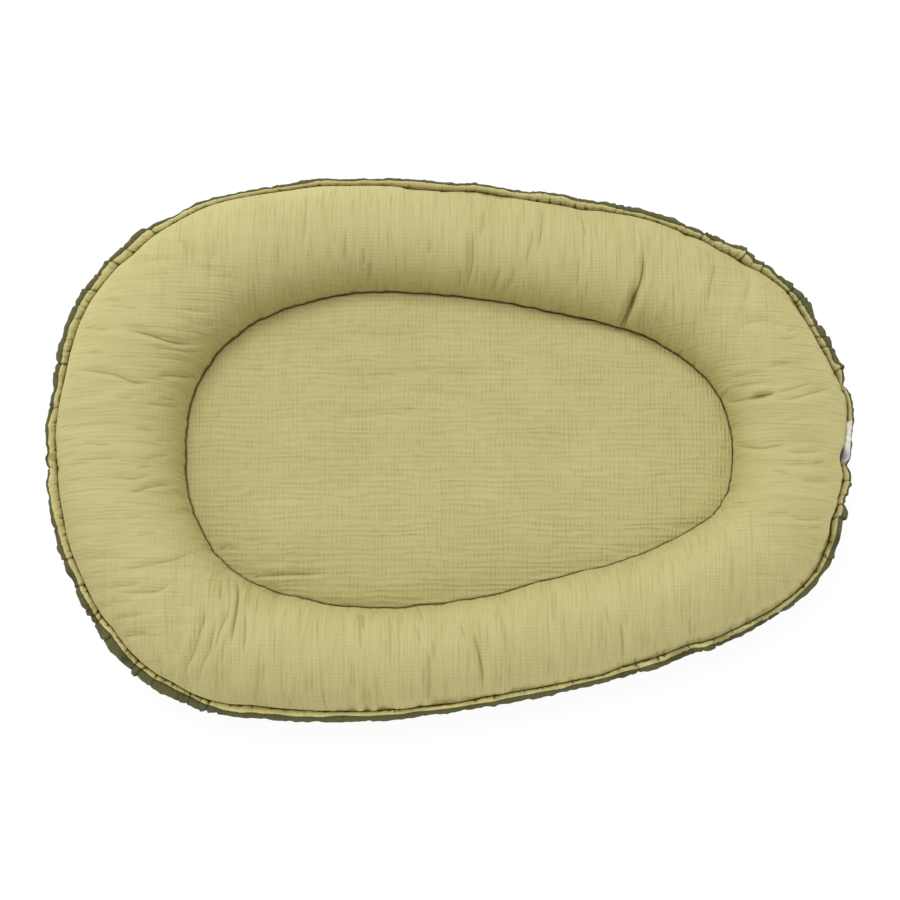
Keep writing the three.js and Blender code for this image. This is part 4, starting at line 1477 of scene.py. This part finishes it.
def stitch_row(name, course, material):
    """A row of lockstitches along a closed course, which is given by shares of the way round"""
    length = line_length(course(TABLE_SHARES)).sum()
    count = round(length / bpy.context.scene.nest_casing.stitch_length)
    shares = np.arange(count) / count
    middles = course(shares)
    ways = unit(course(shares + WAY_SHARE / count) - course(shares - WAY_SHARE / count))
    bm = bmesh.new()
    bmesh.ops.create_uvsphere(bm, u_segments=6, v_segments=5, radius=0.5)
    form = np.array([vertex.co for vertex in bm.verts])
    faces = [[vertex.index for vertex in face.verts] for face in bm.faces]
    bm.free()
    sides = np.cross([0, 0, 1], ways)
    axes = np.stack([ways, sides, np.cross(ways, sides)], axis=1)
    form *= (length / count * STITCH_SHARE, STITCH_THICKNESS, STITCH_THICKNESS)
    points = (middles[:, None] + form @ axes).reshape(-1, 3)
    mesh = bpy.data.meshes.new(name)
    mesh.from_pydata(points, [], [[corner + row * len(form) for corner in face]
                                  for row in range(count) for face in faces])
    mesh.shade_smooth()
    mesh.materials.append(material)
    row = bpy.data.objects.new(name, mesh)
    bpy.context.scene.collection.objects.link(row)
    return row


def inner_seam_course(u):
    return round_nest(lines.inner, u)


def outer_seam_course(u):
    rim = round_nest(lines.outer, u)
    rim[:, :2] += out_of_nest(u) * casing_course(u, "seam")[:, None]
    return rim


JOIN_SEAM_DEPTH = 2.4 * MM


def join_course(u):
    """Where the casing's two strips are sewn together, tucked in"""
    turn = casing_sizes(u).join_turn
    return casing_section(u, turn, over=-JOIN_TUCK - JOIN_SEAM_DEPTH, is_creased=False)[0]


LABEL_COLUMNS = 72
LABEL_ROWS = 24
LABEL_THICKNESS = 0.4 * MM
# Where the label starts and ends and how round its end is, in shares of the way round, how far it is
# sewn in at its far end and how much farther at its near end, and how far past the join it reaches
LABEL_PLACES = (-0.0104, 0.0094)
LABEL_ROUND = 0.0022
LABEL_TUCK = math.radians(30)
LABEL_TUCK_LEAST = 0.3
LABEL_PAST_JOIN = math.radians(14)
# How far it lifts off the casing, with the shares of that: at its seam, what it gains over its first
# part, and what it loses over its last part, with where each part starts and how long it is
LABEL_LIFT = 1.3 * MM
LIFT_AT_SEAM = 0.1
LIFT_GAIN = 0.9
LIFT_GAIN_EASE = 0.3
LIFT_LOSS = 0.5
LIFT_LOSS_START = 0.6
LIFT_LOSS_EASE = 0.4
# Its crumples, in millimetres: their height, how many lie along it and up it, and their seeds
CRUMPLES = ((0.5, 9, 3, 31), (0.22, 24, 6, 32))
CRUMPLE_LEAST = -0.3
# Its painted shade, grey where it is tucked in beside the ring: how wide and how dark it is, and what it
# gains toward the label's near end
GREY_END = 0.62
GREY_END_EASE = 0.3
GREY_WAVER = 0.12
GREY_SHADE = 0.45
GREY_SHADE_GAIN = 0.5
GREY_START = 0.12
GREY_START_GAIN = 0.3
GREY_EASE = 0.16
GREY_EASE_GAIN = 0.4
GREY_REST = 0.22


def label_shade(along, up):
    """How much painted shade the label has at shares of its length and height"""
    low = ease((GREY_END - along) / GREY_END_EASE)
    from_seam = up + GREY_WAVER * wander(along, up, 8, 2, 33)
    faded = (from_seam - GREY_START - GREY_START_GAIN * low) / (GREY_EASE + GREY_EASE_GAIN * low)
    return (GREY_SHADE + GREY_SHADE_GAIN * low) * ease(1 - faded) + GREY_REST * low


def label_body(material):
    """The blank label, sewn in with the casing's seam and folded over the light strip"""
    bm = grid_mesh(LABEL_COLUMNS, LABEL_ROWS)
    along, up = grid_shares(bm)
    near, far = LABEL_PLACES
    u = near + (far - near) * along + LABEL_ROUND * (1 - along) * (2 * up - 1) ** 2
    sizes = casing_sizes(u)
    start = sizes.seam_turn - LABEL_TUCK * (LABEL_TUCK_LEAST + along)
    end = sizes.join_turn + LABEL_PAST_JOIN
    turn = start + (end - start) * up
    gain = LIFT_GAIN * ease(up / LIFT_GAIN_EASE)
    loss = LIFT_LOSS * ease((up - LIFT_LOSS_START) / LIFT_LOSS_EASE)
    over = LABEL_LIFT * (LIFT_AT_SEAM + gain - loss)
    points, _ = casing_section(u, turn, over=over, is_creased=False)
    crumple = sum(height * wander(along, up, columns, rows, seed)
                  for height, columns, rows, seed in CRUMPLES)
    away = unit(points - casing_middle(u, sizes))
    points += away * (np.maximum(crumple, CRUMPLE_LEAST) * MM)[:, None]
    lay_out(bm, points, {SHADE: label_shade(along, up)})
    bmesh.ops.recalc_face_normals(bm, faces=bm.faces)
    label = finished(bm, "satin_label", material)
    wall = label.modifiers.new("Satin thickness", "SOLIDIFY")
    wall.thickness = LABEL_THICKNESS
    return label


# Materials


def add(tree, kind, inputs=None, **settings):
    """Adds a node with its settings, and sets or links its inputs"""
    node = tree.nodes.new(kind)
    for name, value in settings.items():
        setattr(node, name, value)
    for socket, source in (inputs or {}).items():
        if isinstance(source, bpy.types.NodeSocket):
            tree.links.new(source, node.inputs[socket])
        else:
            node.inputs[socket].default_value = source
    return node


def new_material(name):
    """A material and its tree, which is still empty"""
    material = bpy.data.materials.new(name)
    material.use_nodes = True
    material.node_tree.nodes.clear()
    return material, material.node_tree


def give_surface(tree, height, depth, inputs):
    """Adds the shader with its inputs, whose surface rises and falls with a height, and the output"""
    bumped = add(tree, "ShaderNodeBump", {"Height": height, "Distance": depth, "Strength": 1})
    shader = add(tree, "ShaderNodeBsdfPrincipled", {**inputs, "Normal": bumped.outputs["Normal"]})
    add(tree, "ShaderNodeOutputMaterial", {"Surface": shader.outputs["BSDF"]})


def streaks(tree, place, sizes, offset, detail=1.5):
    """Noise from -0.5 to 0.5 whose grains have these sizes along the axes, in millimetres"""
    mapping = add(tree, "ShaderNodeMapping", {
        "Vector": place, "Location": (offset, offset * 0.7, offset * 1.3),
        "Scale": tuple(1 / size for size in sizes)})
    noise = add(tree, "ShaderNodeTexNoise", {
        "Vector": mapping.outputs["Vector"], "Scale": 1, "Detail": detail, "Roughness": 0.55})
    return add(tree, "ShaderNodeMath", {0: noise.outputs["Fac"], 1: 0.5},
               operation="SUBTRACT").outputs[0]


def weighted(tree, parts):
    """The sum of values, each times its weight"""
    total = 0
    for value, weight in parts:
        total = add(tree, "ShaderNodeMath", {0: value, 1: weight, 2: total},
                    operation="MULTIPLY_ADD").outputs[0]
    return total


def cloth_place(tree):
    """Object coordinates in millimetres, which the cloth's own grain follows"""
    source = add(tree, "ShaderNodeTexCoord").outputs["Object"]
    return add(tree, "ShaderNodeVectorMath", {0: source, "Scale": 1 / MM},
               operation="SCALE").outputs[0]


def strip_place(tree, length, width):
    """The UV map of a closed strip as a round sleeve in millimetres, so that it has no end"""
    uv = add(tree, "ShaderNodeSeparateXYZ", {0: add(tree, "ShaderNodeUVMap", uv_map="UVMap").outputs[0]})
    turn = add(tree, "ShaderNodeMath", {0: uv.outputs[0], 1: 2 * math.pi}, operation="MULTIPLY")
    reach = length / MM / (2 * math.pi)
    sides = []
    for kind in ("COSINE", "SINE"):
        wave = add(tree, "ShaderNodeMath", {0: turn.outputs[0]}, operation=kind)
        sides.append(add(tree, "ShaderNodeMath", {0: wave.outputs[0], 1: reach}, operation="MULTIPLY"))
    across = add(tree, "ShaderNodeMath", {0: uv.outputs[1], 1: width / MM}, operation="MULTIPLY")
    return add(tree, "ShaderNodeCombineXYZ", {
        0: sides[0].outputs[0], 1: sides[1].outputs[0], 2: across.outputs[0]}).outputs[0]





class Crinkles(NamedTuple):
    """The muslin's crinkles in millimetres. Ripples lie in rows along the grain, ribs cross them
    between two ripples, and creases and streaks run along the grain. The last three are how much
    painted shade darkens a valley, how deep the valleys are, and what share of its colour crinkled cloth
    would lose to its own shadows."""
    ripple_spacing: float
    ripple_share: float
    rib_spacing: float
    rib_share: float
    crease_length: float
    crease_width: float
    crease_share: float
    streak_share: float
    tone: float
    depth: float
    lift: float


FLAT_CRINKLES = Crinkles(6.8, 0.6, 4.6, 0.6, 18, 4.4, 0.05, 0.75, 0.06, 0.42 * MM, 1.01)
RING_CRINKLES = Crinkles(4.6, 0.22, 3.8, 0.16, 60, 3.1, 0.5, 1, 0.11, 0.5 * MM, 1.06)
STRIP_CRINKLES = Crinkles(5, 0.3, 3.6, 0.3, 12, 4, 0.5, 1, 0.07, 0.45 * MM, 1.05)
# How much more the red, green and blue of a valley's painted shade sink than its tone, since the cloth's
# own colour lights it, how much stronger the crinkles are where both grains cross, and how much stronger
# the painted shade of those along Y is
DEEPER_HUE = (0.95, 1, 1.6)
CORNER_LIFT = 1.5
TONE_ALONG_Y = 0.7
# How far the ripples and the ribs waver, in radians, and where they fade in and out: from where to
# where the noise of their patches lets them go from their least to their greatest strength
RIPPLE_WAVER = 12
RIB_WAVER = 9
RIPPLE_PATCHES = {1: -0.15, 2: 0.15, 3: 0.35, 4: 1.1}
RIB_PATCHES = {1: -0.12, 2: 0.16, 3: 0.2, 4: 1.2}
CREASED_FROM_TO = {1: 0.04, 2: 0.26}
# The sizes of the noise, in millimetres: along and across the grain for the ripples' drift, their
# patches and the ribs' patches, the depth of all of these, and along X, Y and Z for the gathers of a
# strip and the clouds of paler and darker cloth, which have a share of the tone
DRIFT_SIZE = (60, 18)
RIPPLE_PATCH_SIZE = (34, 14)
RIB_PATCH_SIZE = (11, 9)
CLOTH_DEPTH_SIZE = 30
GATHER_SIZE = (5, 5, 60)
CLOUD_SIZE = (70, 50, 60)
CLOUD_SHARE = 0.12


def stretched(axis, along, across):
    """The sizes of a grain that is longer along the axis 0 or 1"""
    return (along, across, CLOTH_DEPTH_SIZE) if axis == 0 else (across, along, CLOTH_DEPTH_SIZE)


def rows(tree, place, axis, spacing, waver, offset):
    """Ripples side by side along an axis, whose noise lets them waver, meet and end"""
    way = add(tree, "ShaderNodeSeparateXYZ", {0: place}).outputs[axis]
    drift = streaks(tree, place, stretched(1 - axis, *DRIFT_SIZE), offset, detail=1)
    turn = weighted(tree, [(way, 2 * math.pi / spacing), (drift, waver)])
    return add(tree, "ShaderNodeMath", {0: turn}, operation="SINE").outputs[0]


def gauze(tree, place, size, axis, offset):
    """The height of muslin whose creases run along the axis 0 or 1"""
    patches = streaks(tree, place, stretched(axis, *RIPPLE_PATCH_SIZE), offset, detail=1)
    cells = streaks(tree, place, stretched(axis, *RIB_PATCH_SIZE), offset + 9, detail=0)
    parts = []
    for kept, limits, way, spacing, waver, shift, share in (
            (patches, RIPPLE_PATCHES, 1 - axis, size.ripple_spacing, RIPPLE_WAVER, 5, size.ripple_share),
            (cells, RIB_PATCHES, axis, size.rib_spacing, RIB_WAVER, 13, size.rib_share)):
        strength = add(tree, "ShaderNodeMapRange", {0: kept, **limits}, interpolation_type="SMOOTHSTEP")
        waves = rows(tree, place, way, spacing, waver, offset + shift)
        kind = add(tree, "ShaderNodeMath", {0: waves, 1: strength.outputs[0]}, operation="MULTIPLY")
        parts.append((kind.outputs[0], share))
    noise = streaks(tree, place, stretched(axis, size.crease_length, size.crease_width), offset + 17)
    creases = add(tree, "ShaderNodeMapRange", {0: noise, **CREASED_FROM_TO}, interpolation_type="SMOOTHSTEP")
    return weighted(tree, [*parts, (noise, -size.streak_share), (creases.outputs[0], -size.crease_share)])


def muslin(name, colour, deep, size, strip=None, gather=0.4):
    """Double-gauze cotton muslin, garment-washed: two open plain weaves tacked together, which
    shrink into fine crinkles along both threads. Matt, with a little fuzz, with painted shade in the
    valleys of its crinkles, and with the painted shade and painted light that its marks give."""
    material, tree = new_material(name)
    place = cloth_place(tree)
    grain = add(tree, "ShaderNodeAttribute", attribute_name=GRAIN).outputs["Fac"]
    crinkled = add(tree, "ShaderNodeMix", {
        0: grain, 2: gauze(tree, place, size, 0, 3.1), 3: gauze(tree, place, size, 1, 47.3)})
    parts = [(crinkled.outputs[0], 1)]
    if strip:
        parts.append((streaks(tree, strip_place(tree, *strip), GATHER_SIZE, 5.9), gather))
    turning = add(tree, "ShaderNodeMath", {0: grain, 1: 0.5}, operation="PINGPONG").outputs[0]
    stronger = weighted(tree, [(turning, CORNER_LIFT), (1, 1)])
    height = add(tree, "ShaderNodeMath", {0: weighted(tree, parts), 1: stronger},
                 operation="MULTIPLY").outputs[0]
    # Painted shade: the valleys of the crinkles are darker by the tone
    toned = weighted(tree, [(grain, TONE_ALONG_Y * size.tone), (1, size.tone)])
    darker = add(tree, "ShaderNodeMath", {0: height, 1: toned}, operation="MULTIPLY").outputs[0]
    tone = weighted(tree, [(darker, 1), (streaks(tree, place, CLOUD_SIZE, 44.1), CLOUD_SHARE)])
    shift = add(tree, "ShaderNodeVectorMath", {0: DEEPER_HUE, "Scale": tone}, operation="SCALE")
    # Painted light from the mark, which makes the cloth paler
    painted_light = add(tree, "ShaderNodeAttribute", attribute_name=PAINTED_LIGHT).outputs["Fac"]
    lift = weighted(tree, [(painted_light, 1), (1, size.lift)])
    lifted = add(tree, "ShaderNodeVectorMath", {0: shift.outputs[0], 1: lift}, operation="ADD")
    tinted = add(tree, "ShaderNodeVectorMath", {0: lifted.outputs[0], 1: colour}, operation="MULTIPLY")
    # Painted shade from the mark, toward the deep colour, which is the painted shade colour
    shade = add(tree, "ShaderNodeAttribute", attribute_name=SHADE).outputs["Fac"]
    shaded = add(tree, "ShaderNodeMix", {0: shade, 6: tinted.outputs[0], 7: (*deep, 1)}, data_type="RGBA")
    give_surface(tree, height, size.depth, {
        "Base Color": shaded.outputs[2], "Roughness": 0.92, "Specular IOR Level": 0.15,
        "Sheen Weight": 0.03, "Sheen Roughness": 0.5, "Sheen Tint": (*colour, 1)})
    return material


# The sizes of the thread's plies, the cord's plaits, and the satin's warp and crumples, in millimetres
PLY_SIZE = (0.6, 0.6, 0.6)
PLY_DEPTH = 0.2 * MM
PLAIT_SIZE = (1.6, 1.6, 1.6)
PLAIT_DEPTH = 0.6 * MM
PLAIT_TONE = 0.4
WARP_SIZE = (0.7, 6, 2)
WARP_DEPTH = 0.2 * MM
CRUMPLE_SIZE = (2.6, 5, 4)
# The range over which the satin's crumple noise becomes painted shade
CRUMPLE_SHADE_FROM_TO = {1: -0.1, 2: 0.22, 3: 0, 4: 0.3}


def sewing_thread(colour):
    """Spun polyester sewing thread: matt, two plies, too fine to show one by one"""
    material, tree = new_material("spun polyester thread")
    plies = streaks(tree, cloth_place(tree), PLY_SIZE, 2.2)
    give_surface(tree, plies, PLY_DEPTH, {"Base Color": (*colour, 1), "Roughness": 0.7})
    return material


def cotton_cord(colour):
    """Round braided cotton cord: matt, with plaits about 2 mm long"""
    material, tree = new_material("braided cotton cord")
    plaits = streaks(tree, cloth_place(tree), PLAIT_SIZE, 4.4)
    tone = add(tree, "ShaderNodeMath", {0: plaits, 1: PLAIT_TONE, 2: 1}, operation="MULTIPLY_ADD")
    tinted = add(tree, "ShaderNodeVectorMath", {0: colour, "Scale": tone.outputs[0]}, operation="SCALE")
    give_surface(tree, plaits, PLAIT_DEPTH, {"Base Color": tinted.outputs[0], "Roughness": 0.85})
    return material


def satin(colour, deep):
    """Woven polyester satin: smooth, with a soft gloss, a fine warp along the label, and painted shade where
    it is crumpled and where it is tucked into its seam"""
    material, tree = new_material("woven polyester satin")
    place = cloth_place(tree)
    # Painted shade: the crumple noise and the tucked part's mark, both toward the shade colour
    crumpled = add(tree, "ShaderNodeMapRange", {
        0: streaks(tree, place, CRUMPLE_SIZE, 9.2), **CRUMPLE_SHADE_FROM_TO}, interpolation_type="SMOOTHSTEP")
    shade = add(tree, "ShaderNodeAttribute", attribute_name=SHADE).outputs["Fac"]
    grey = add(tree, "ShaderNodeMath", {0: crumpled.outputs[0], 1: shade}, operation="MAXIMUM")
    tinted = add(tree, "ShaderNodeMix", {0: grey.outputs[0], 6: (*colour, 1), 7: (*deep, 1)},
                 data_type="RGBA")
    give_surface(tree, streaks(tree, place, WARP_SIZE, 6.6), WARP_DEPTH, {
        "Base Color": tinted.outputs[2], "Roughness": 0.4, "Sheen Weight": 0.2})
    return material


def colours():
    return bpy.context.scene.nest_colours


def upper_muslin(name, size, **settings):
    return muslin(name, colours().upper, colours().upper_shade, size, **settings)


def under_muslin(name, size, **settings):
    return muslin(name, colours().under, colours().under_shade, size, **settings)


RING_STRIP = (lines.length, RING_ARC)
CASING_STRIP = (RIM_LENGTH, STRIP_ARC)


# The stage


FLOOR_DROP = 0.2 * MM
# What the floor's paper gives back and glows with by itself, and the same for what the camera sees
PAPER = "#F4F4F4"
PAPER_GLOW = 0.62
SEEN_PAPER = "#616161"
SEEN_GLOW = 0.93
WHITE = "#FFFFFF"
# The window side is a little cooler than the light that the room gives back
KEY_COLOUR = (0.98, 0.99, 1.05)
KEY_SIZE = 7.8
KEY_PLACE = Vector((-2.9, 5.8, 11))
FILL_COLOUR = (1, 0.99, 0.95)
CLIP_END = 50


def seen_directly(tree):
    """1 for rays that show the background itself, straight, in a gloss or through glass"""
    path = add(tree, "ShaderNodeLightPath")
    glossy = add(tree, "ShaderNodeMath", {
        0: path.outputs["Is Camera Ray"], 1: path.outputs["Is Glossy Ray"]}, operation="MAXIMUM")
    return add(tree, "ShaderNodeMath", {
        0: glossy.outputs[0], 1: path.outputs["Is Transmission Ray"]}, operation="MAXIMUM").outputs[0]


def glowing_paper(tree, colour, glow):
    paper = add(tree, "ShaderNodeBsdfDiffuse", {"Color": (*linear(colour), 1)})
    light = add(tree, "ShaderNodeEmission", {"Color": (*linear(WHITE), 1), "Strength": glow})
    return add(tree, "ShaderNodeAddShader", {0: paper.outputs[0], 1: light.outputs[0]}).outputs[0]


def white_floor(stage):
    """A paper-white floor. What the camera sees of it is lifted to white, and keeps a faint shadow."""
    bm = bmesh.new()
    bmesh.ops.create_grid(bm, x_segments=1, y_segments=1, size=stage.floor_size / 2)
    bmesh.ops.translate(bm, verts=bm.verts, vec=(0, 0, -FLOOR_DROP))
    material, tree = new_material("white paper floor")
    shown = add(tree, "ShaderNodeMixShader", {
        0: seen_directly(tree), 1: glowing_paper(tree, PAPER, PAPER_GLOW),
        2: glowing_paper(tree, SEEN_PAPER, SEEN_GLOW)})
    add(tree, "ShaderNodeOutputMaterial", {"Surface": shown.outputs[0]})
    finished(bm, "floor", material)


def even_light(stage):
    """Soft light from all round, and a white background"""
    world = bpy.data.worlds.new("white studio")
    bpy.context.scene.world = world
    world.use_nodes = True
    tree = world.node_tree
    tree.nodes.clear()
    light = add(tree, "ShaderNodeBackground", {"Color": (*FILL_COLOUR, 1), "Strength": stage.sky})
    white = add(tree, "ShaderNodeBackground", {"Color": (*linear(WHITE), 1), "Strength": 1})
    shown = add(tree, "ShaderNodeMixShader", {
        0: seen_directly(tree), 1: light.outputs[0], 2: white.outputs[0]})
    add(tree, "ShaderNodeOutputWorld", {"Surface": shown.outputs[0]})


def key_light(stage):
    """A big soft light, high at the photo's upper left"""
    lamp = bpy.data.lights.new("key light", "AREA")
    lamp.shape = "DISK"
    lamp.size = KEY_SIZE
    lamp.energy = stage.key_power
    lamp.color = KEY_COLOUR
    holder = bpy.data.objects.new("key light", lamp)
    bpy.context.scene.collection.objects.link(holder)
    holder.location = KEY_PLACE
    holder.rotation_euler = (-KEY_PLACE).to_track_quat("-Z", "Y").to_euler()


def photo_camera():
    """The photo's camera"""
    data = bpy.data.cameras.new("camera")
    data.sensor_width = SENSOR_WIDTH
    data.lens = SENSOR_WIDTH * CAMERA_DISTANCE / VIEW_SPAN
    data.clip_end = CLIP_END
    holder = bpy.data.objects.new("camera", data)
    bpy.context.scene.collection.objects.link(holder)
    right, up, back = camera_axes()
    holder.matrix_world = Matrix.Translation(AIM + back * CAMERA_DISTANCE) @ Matrix(
        (right, up, back)).transposed().to_4x4()
    bpy.context.scene.camera = holder


# Operators, one for each piece or group of pieces


class NEST_OT_upper_bolster(bpy.types.Operator):
    """Makes the light cover of the ring with its filling"""
    bl_idname = "nest.upper_bolster"
    bl_label = "Upper bolster"

    def execute(self, context):
        cloth = upper_muslin("light olive double gauze, gathered", RING_CRINKLES, strip=RING_STRIP)
        ring = ring_body("upper_bolster", RING_COLUMNS, RING_ROWS, upper_ring_surface, cloth)
        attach(ring, "root")
        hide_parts("upper_bolster_cover", "bolster_filling")
        return {"FINISHED"}


class NEST_OT_under_bolster(bpy.types.Operator):
    """Makes the dark cover under the ring"""
    bl_idname = "nest.under_bolster"
    bl_label = "Under bolster"

    def execute(self, context):
        cloth = under_muslin("dark olive double gauze, gathered", RING_CRINKLES, strip=RING_STRIP)
        ring = ring_body("under_bolster", UNDER_COLUMNS, UNDER_ROWS, under_ring_surface, cloth)
        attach(ring, "root")
        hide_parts("under_bolster_cover")
        return {"FINISHED"}


class NEST_OT_floor(bpy.types.Operator):
    """Makes the padded floor: its light upper side and its dark under side"""
    bl_idname = "nest.floor"
    bl_label = "Floor"

    def execute(self, context):
        light = upper_muslin("light olive double gauze", FLAT_CRINKLES)
        dark = under_muslin("dark olive double gauze", FLAT_CRINKLES)
        upper = floor_body("upper_floor", FLOOR_COLUMNS, FLOOR_ROWS, upper_floor_points, light)
        under = floor_body("under_floor", FLOOR_COLUMNS // 2, FLOOR_ROWS // 2, under_floor_points, dark)
        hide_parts("upper_floor_cover", "floor_wadding")
        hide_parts("under_floor_cover")
        for piece, slot in ((upper, "upper_muslin"), (under, "under_muslin")):
            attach(piece, "root")
        return {"FINISHED"}


class NEST_OT_casing(bpy.types.Operator):
    """Makes the two gathered strips of the casing"""
    bl_idname = "nest.casing"
    bl_label = "Casing"

    def execute(self, context):
        light = upper_muslin("light olive double gauze, bias strip", STRIP_CRINKLES, strip=CASING_STRIP)
        dark = under_muslin("dark olive double gauze, bias strip", STRIP_CRINKLES, strip=CASING_STRIP)
        for name, is_upper, cloth, node, slot in (
                ("casing_light_strip", True, light, "casing_upper_strip", "upper_muslin"),
                ("casing_dark_strip", False, dark, "casing_under_strip", "under_muslin")):
            strip = casing_strip(name, is_upper, cloth)
            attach(strip, "root")
            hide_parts(node)
        return {"FINISHED"}


class NEST_OT_drawstring(bpy.types.Operator):
    """Lays the cord into the casing"""
    bl_idname = "nest.drawstring"
    bl_label = "Drawstring"

    def execute(self, context):
        cord = drawstring_body(cotton_cord(colours().cord))
        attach(cord, "root")
        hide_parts("drawstring")
        return {"FINISHED"}


class NEST_OT_stitches(bpy.types.Operator):
    """Sews the three seams, stitch by stitch"""
    bl_idname = "nest.stitches"
    bl_label = "Stitches"

    def execute(self, context):
        thread = sewing_thread(colours().thread)
        for name, course, node in (
                ("inner_seam_stitches", inner_seam_course, "inner_seam_thread"),
                ("outer_seam_stitches", outer_seam_course, "casing_seam_thread"),
                ("edge_seam_stitches", join_course, "edge_seam_thread")):
            row = stitch_row(name, course, thread)
            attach(row, "root")
            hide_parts(node)
        return {"FINISHED"}


class NEST_OT_label(bpy.types.Operator):
    """Makes the blank satin label at the foot end"""
    bl_idname = "nest.label"
    bl_label = "Label"

    def execute(self, context):
        label = label_body(satin(colours().satin, colours().satin_shade))
        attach(label, "root")
        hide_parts("seam_label")
        return {"FINISHED"}


class NEST_OT_stage(bpy.types.Operator):
    """Makes the white floor, the light and the camera"""
    bl_idname = "nest.stage"
    bl_label = "Stage"

    def execute(self, context):
        stage = context.scene.nest_stage
        context.scene.view_settings.view_transform = "Standard"
        white_floor(stage)
        even_light(stage)
        key_light(stage)
        photo_camera()
        return {"FINISHED"}


# The panel


class NEST_PT_panel(bpy.types.Panel):
    """Lists the nest's pieces and their settings"""
    bl_label = "Baby nest"
    bl_space_type = "VIEW_3D"
    bl_region_type = "UI"
    bl_category = "Nest"

    def draw(self, context):
        for operator in MAKING_ORDER:
            self.layout.operator(operator.bl_idname)
        for group in GROUPS:
            box = self.layout.box()
            settings = getattr(context.scene, group)
            for name in settings.bl_rna.properties.keys():
                if name not in ("rna_type", "name"):
                    box.prop(settings, name)


MAKING_ORDER = (
    NEST_OT_stage, NEST_OT_upper_bolster, NEST_OT_under_bolster, NEST_OT_floor, NEST_OT_casing,
    NEST_OT_drawstring, NEST_OT_stitches, NEST_OT_label,
)
GROUPS = {
    "nest_cloth": NestCloth, "nest_casing": NestCasing, "nest_colours": NestColours,
    "nest_stage": NestStage,
}


def register():
    for group in GROUPS.values():
        bpy.utils.register_class(group)
    for name, group in GROUPS.items():
        setattr(bpy.types.Scene, name, PointerProperty(type=group))
    for operator in (*MAKING_ORDER, NEST_PT_panel):
        bpy.utils.register_class(operator)


def unregister():
    for operator in (NEST_PT_panel, *reversed(MAKING_ORDER)):
        bpy.utils.unregister_class(operator)
    for name, group in GROUPS.items():
        delattr(bpy.types.Scene, name)
        bpy.utils.unregister_class(group)


def main():
    register()
    for operator in MAKING_ORDER:
        space, name = operator.bl_idname.split(".")
        getattr(getattr(bpy.ops, space), name)()


if __name__ == "__main__":
    main()
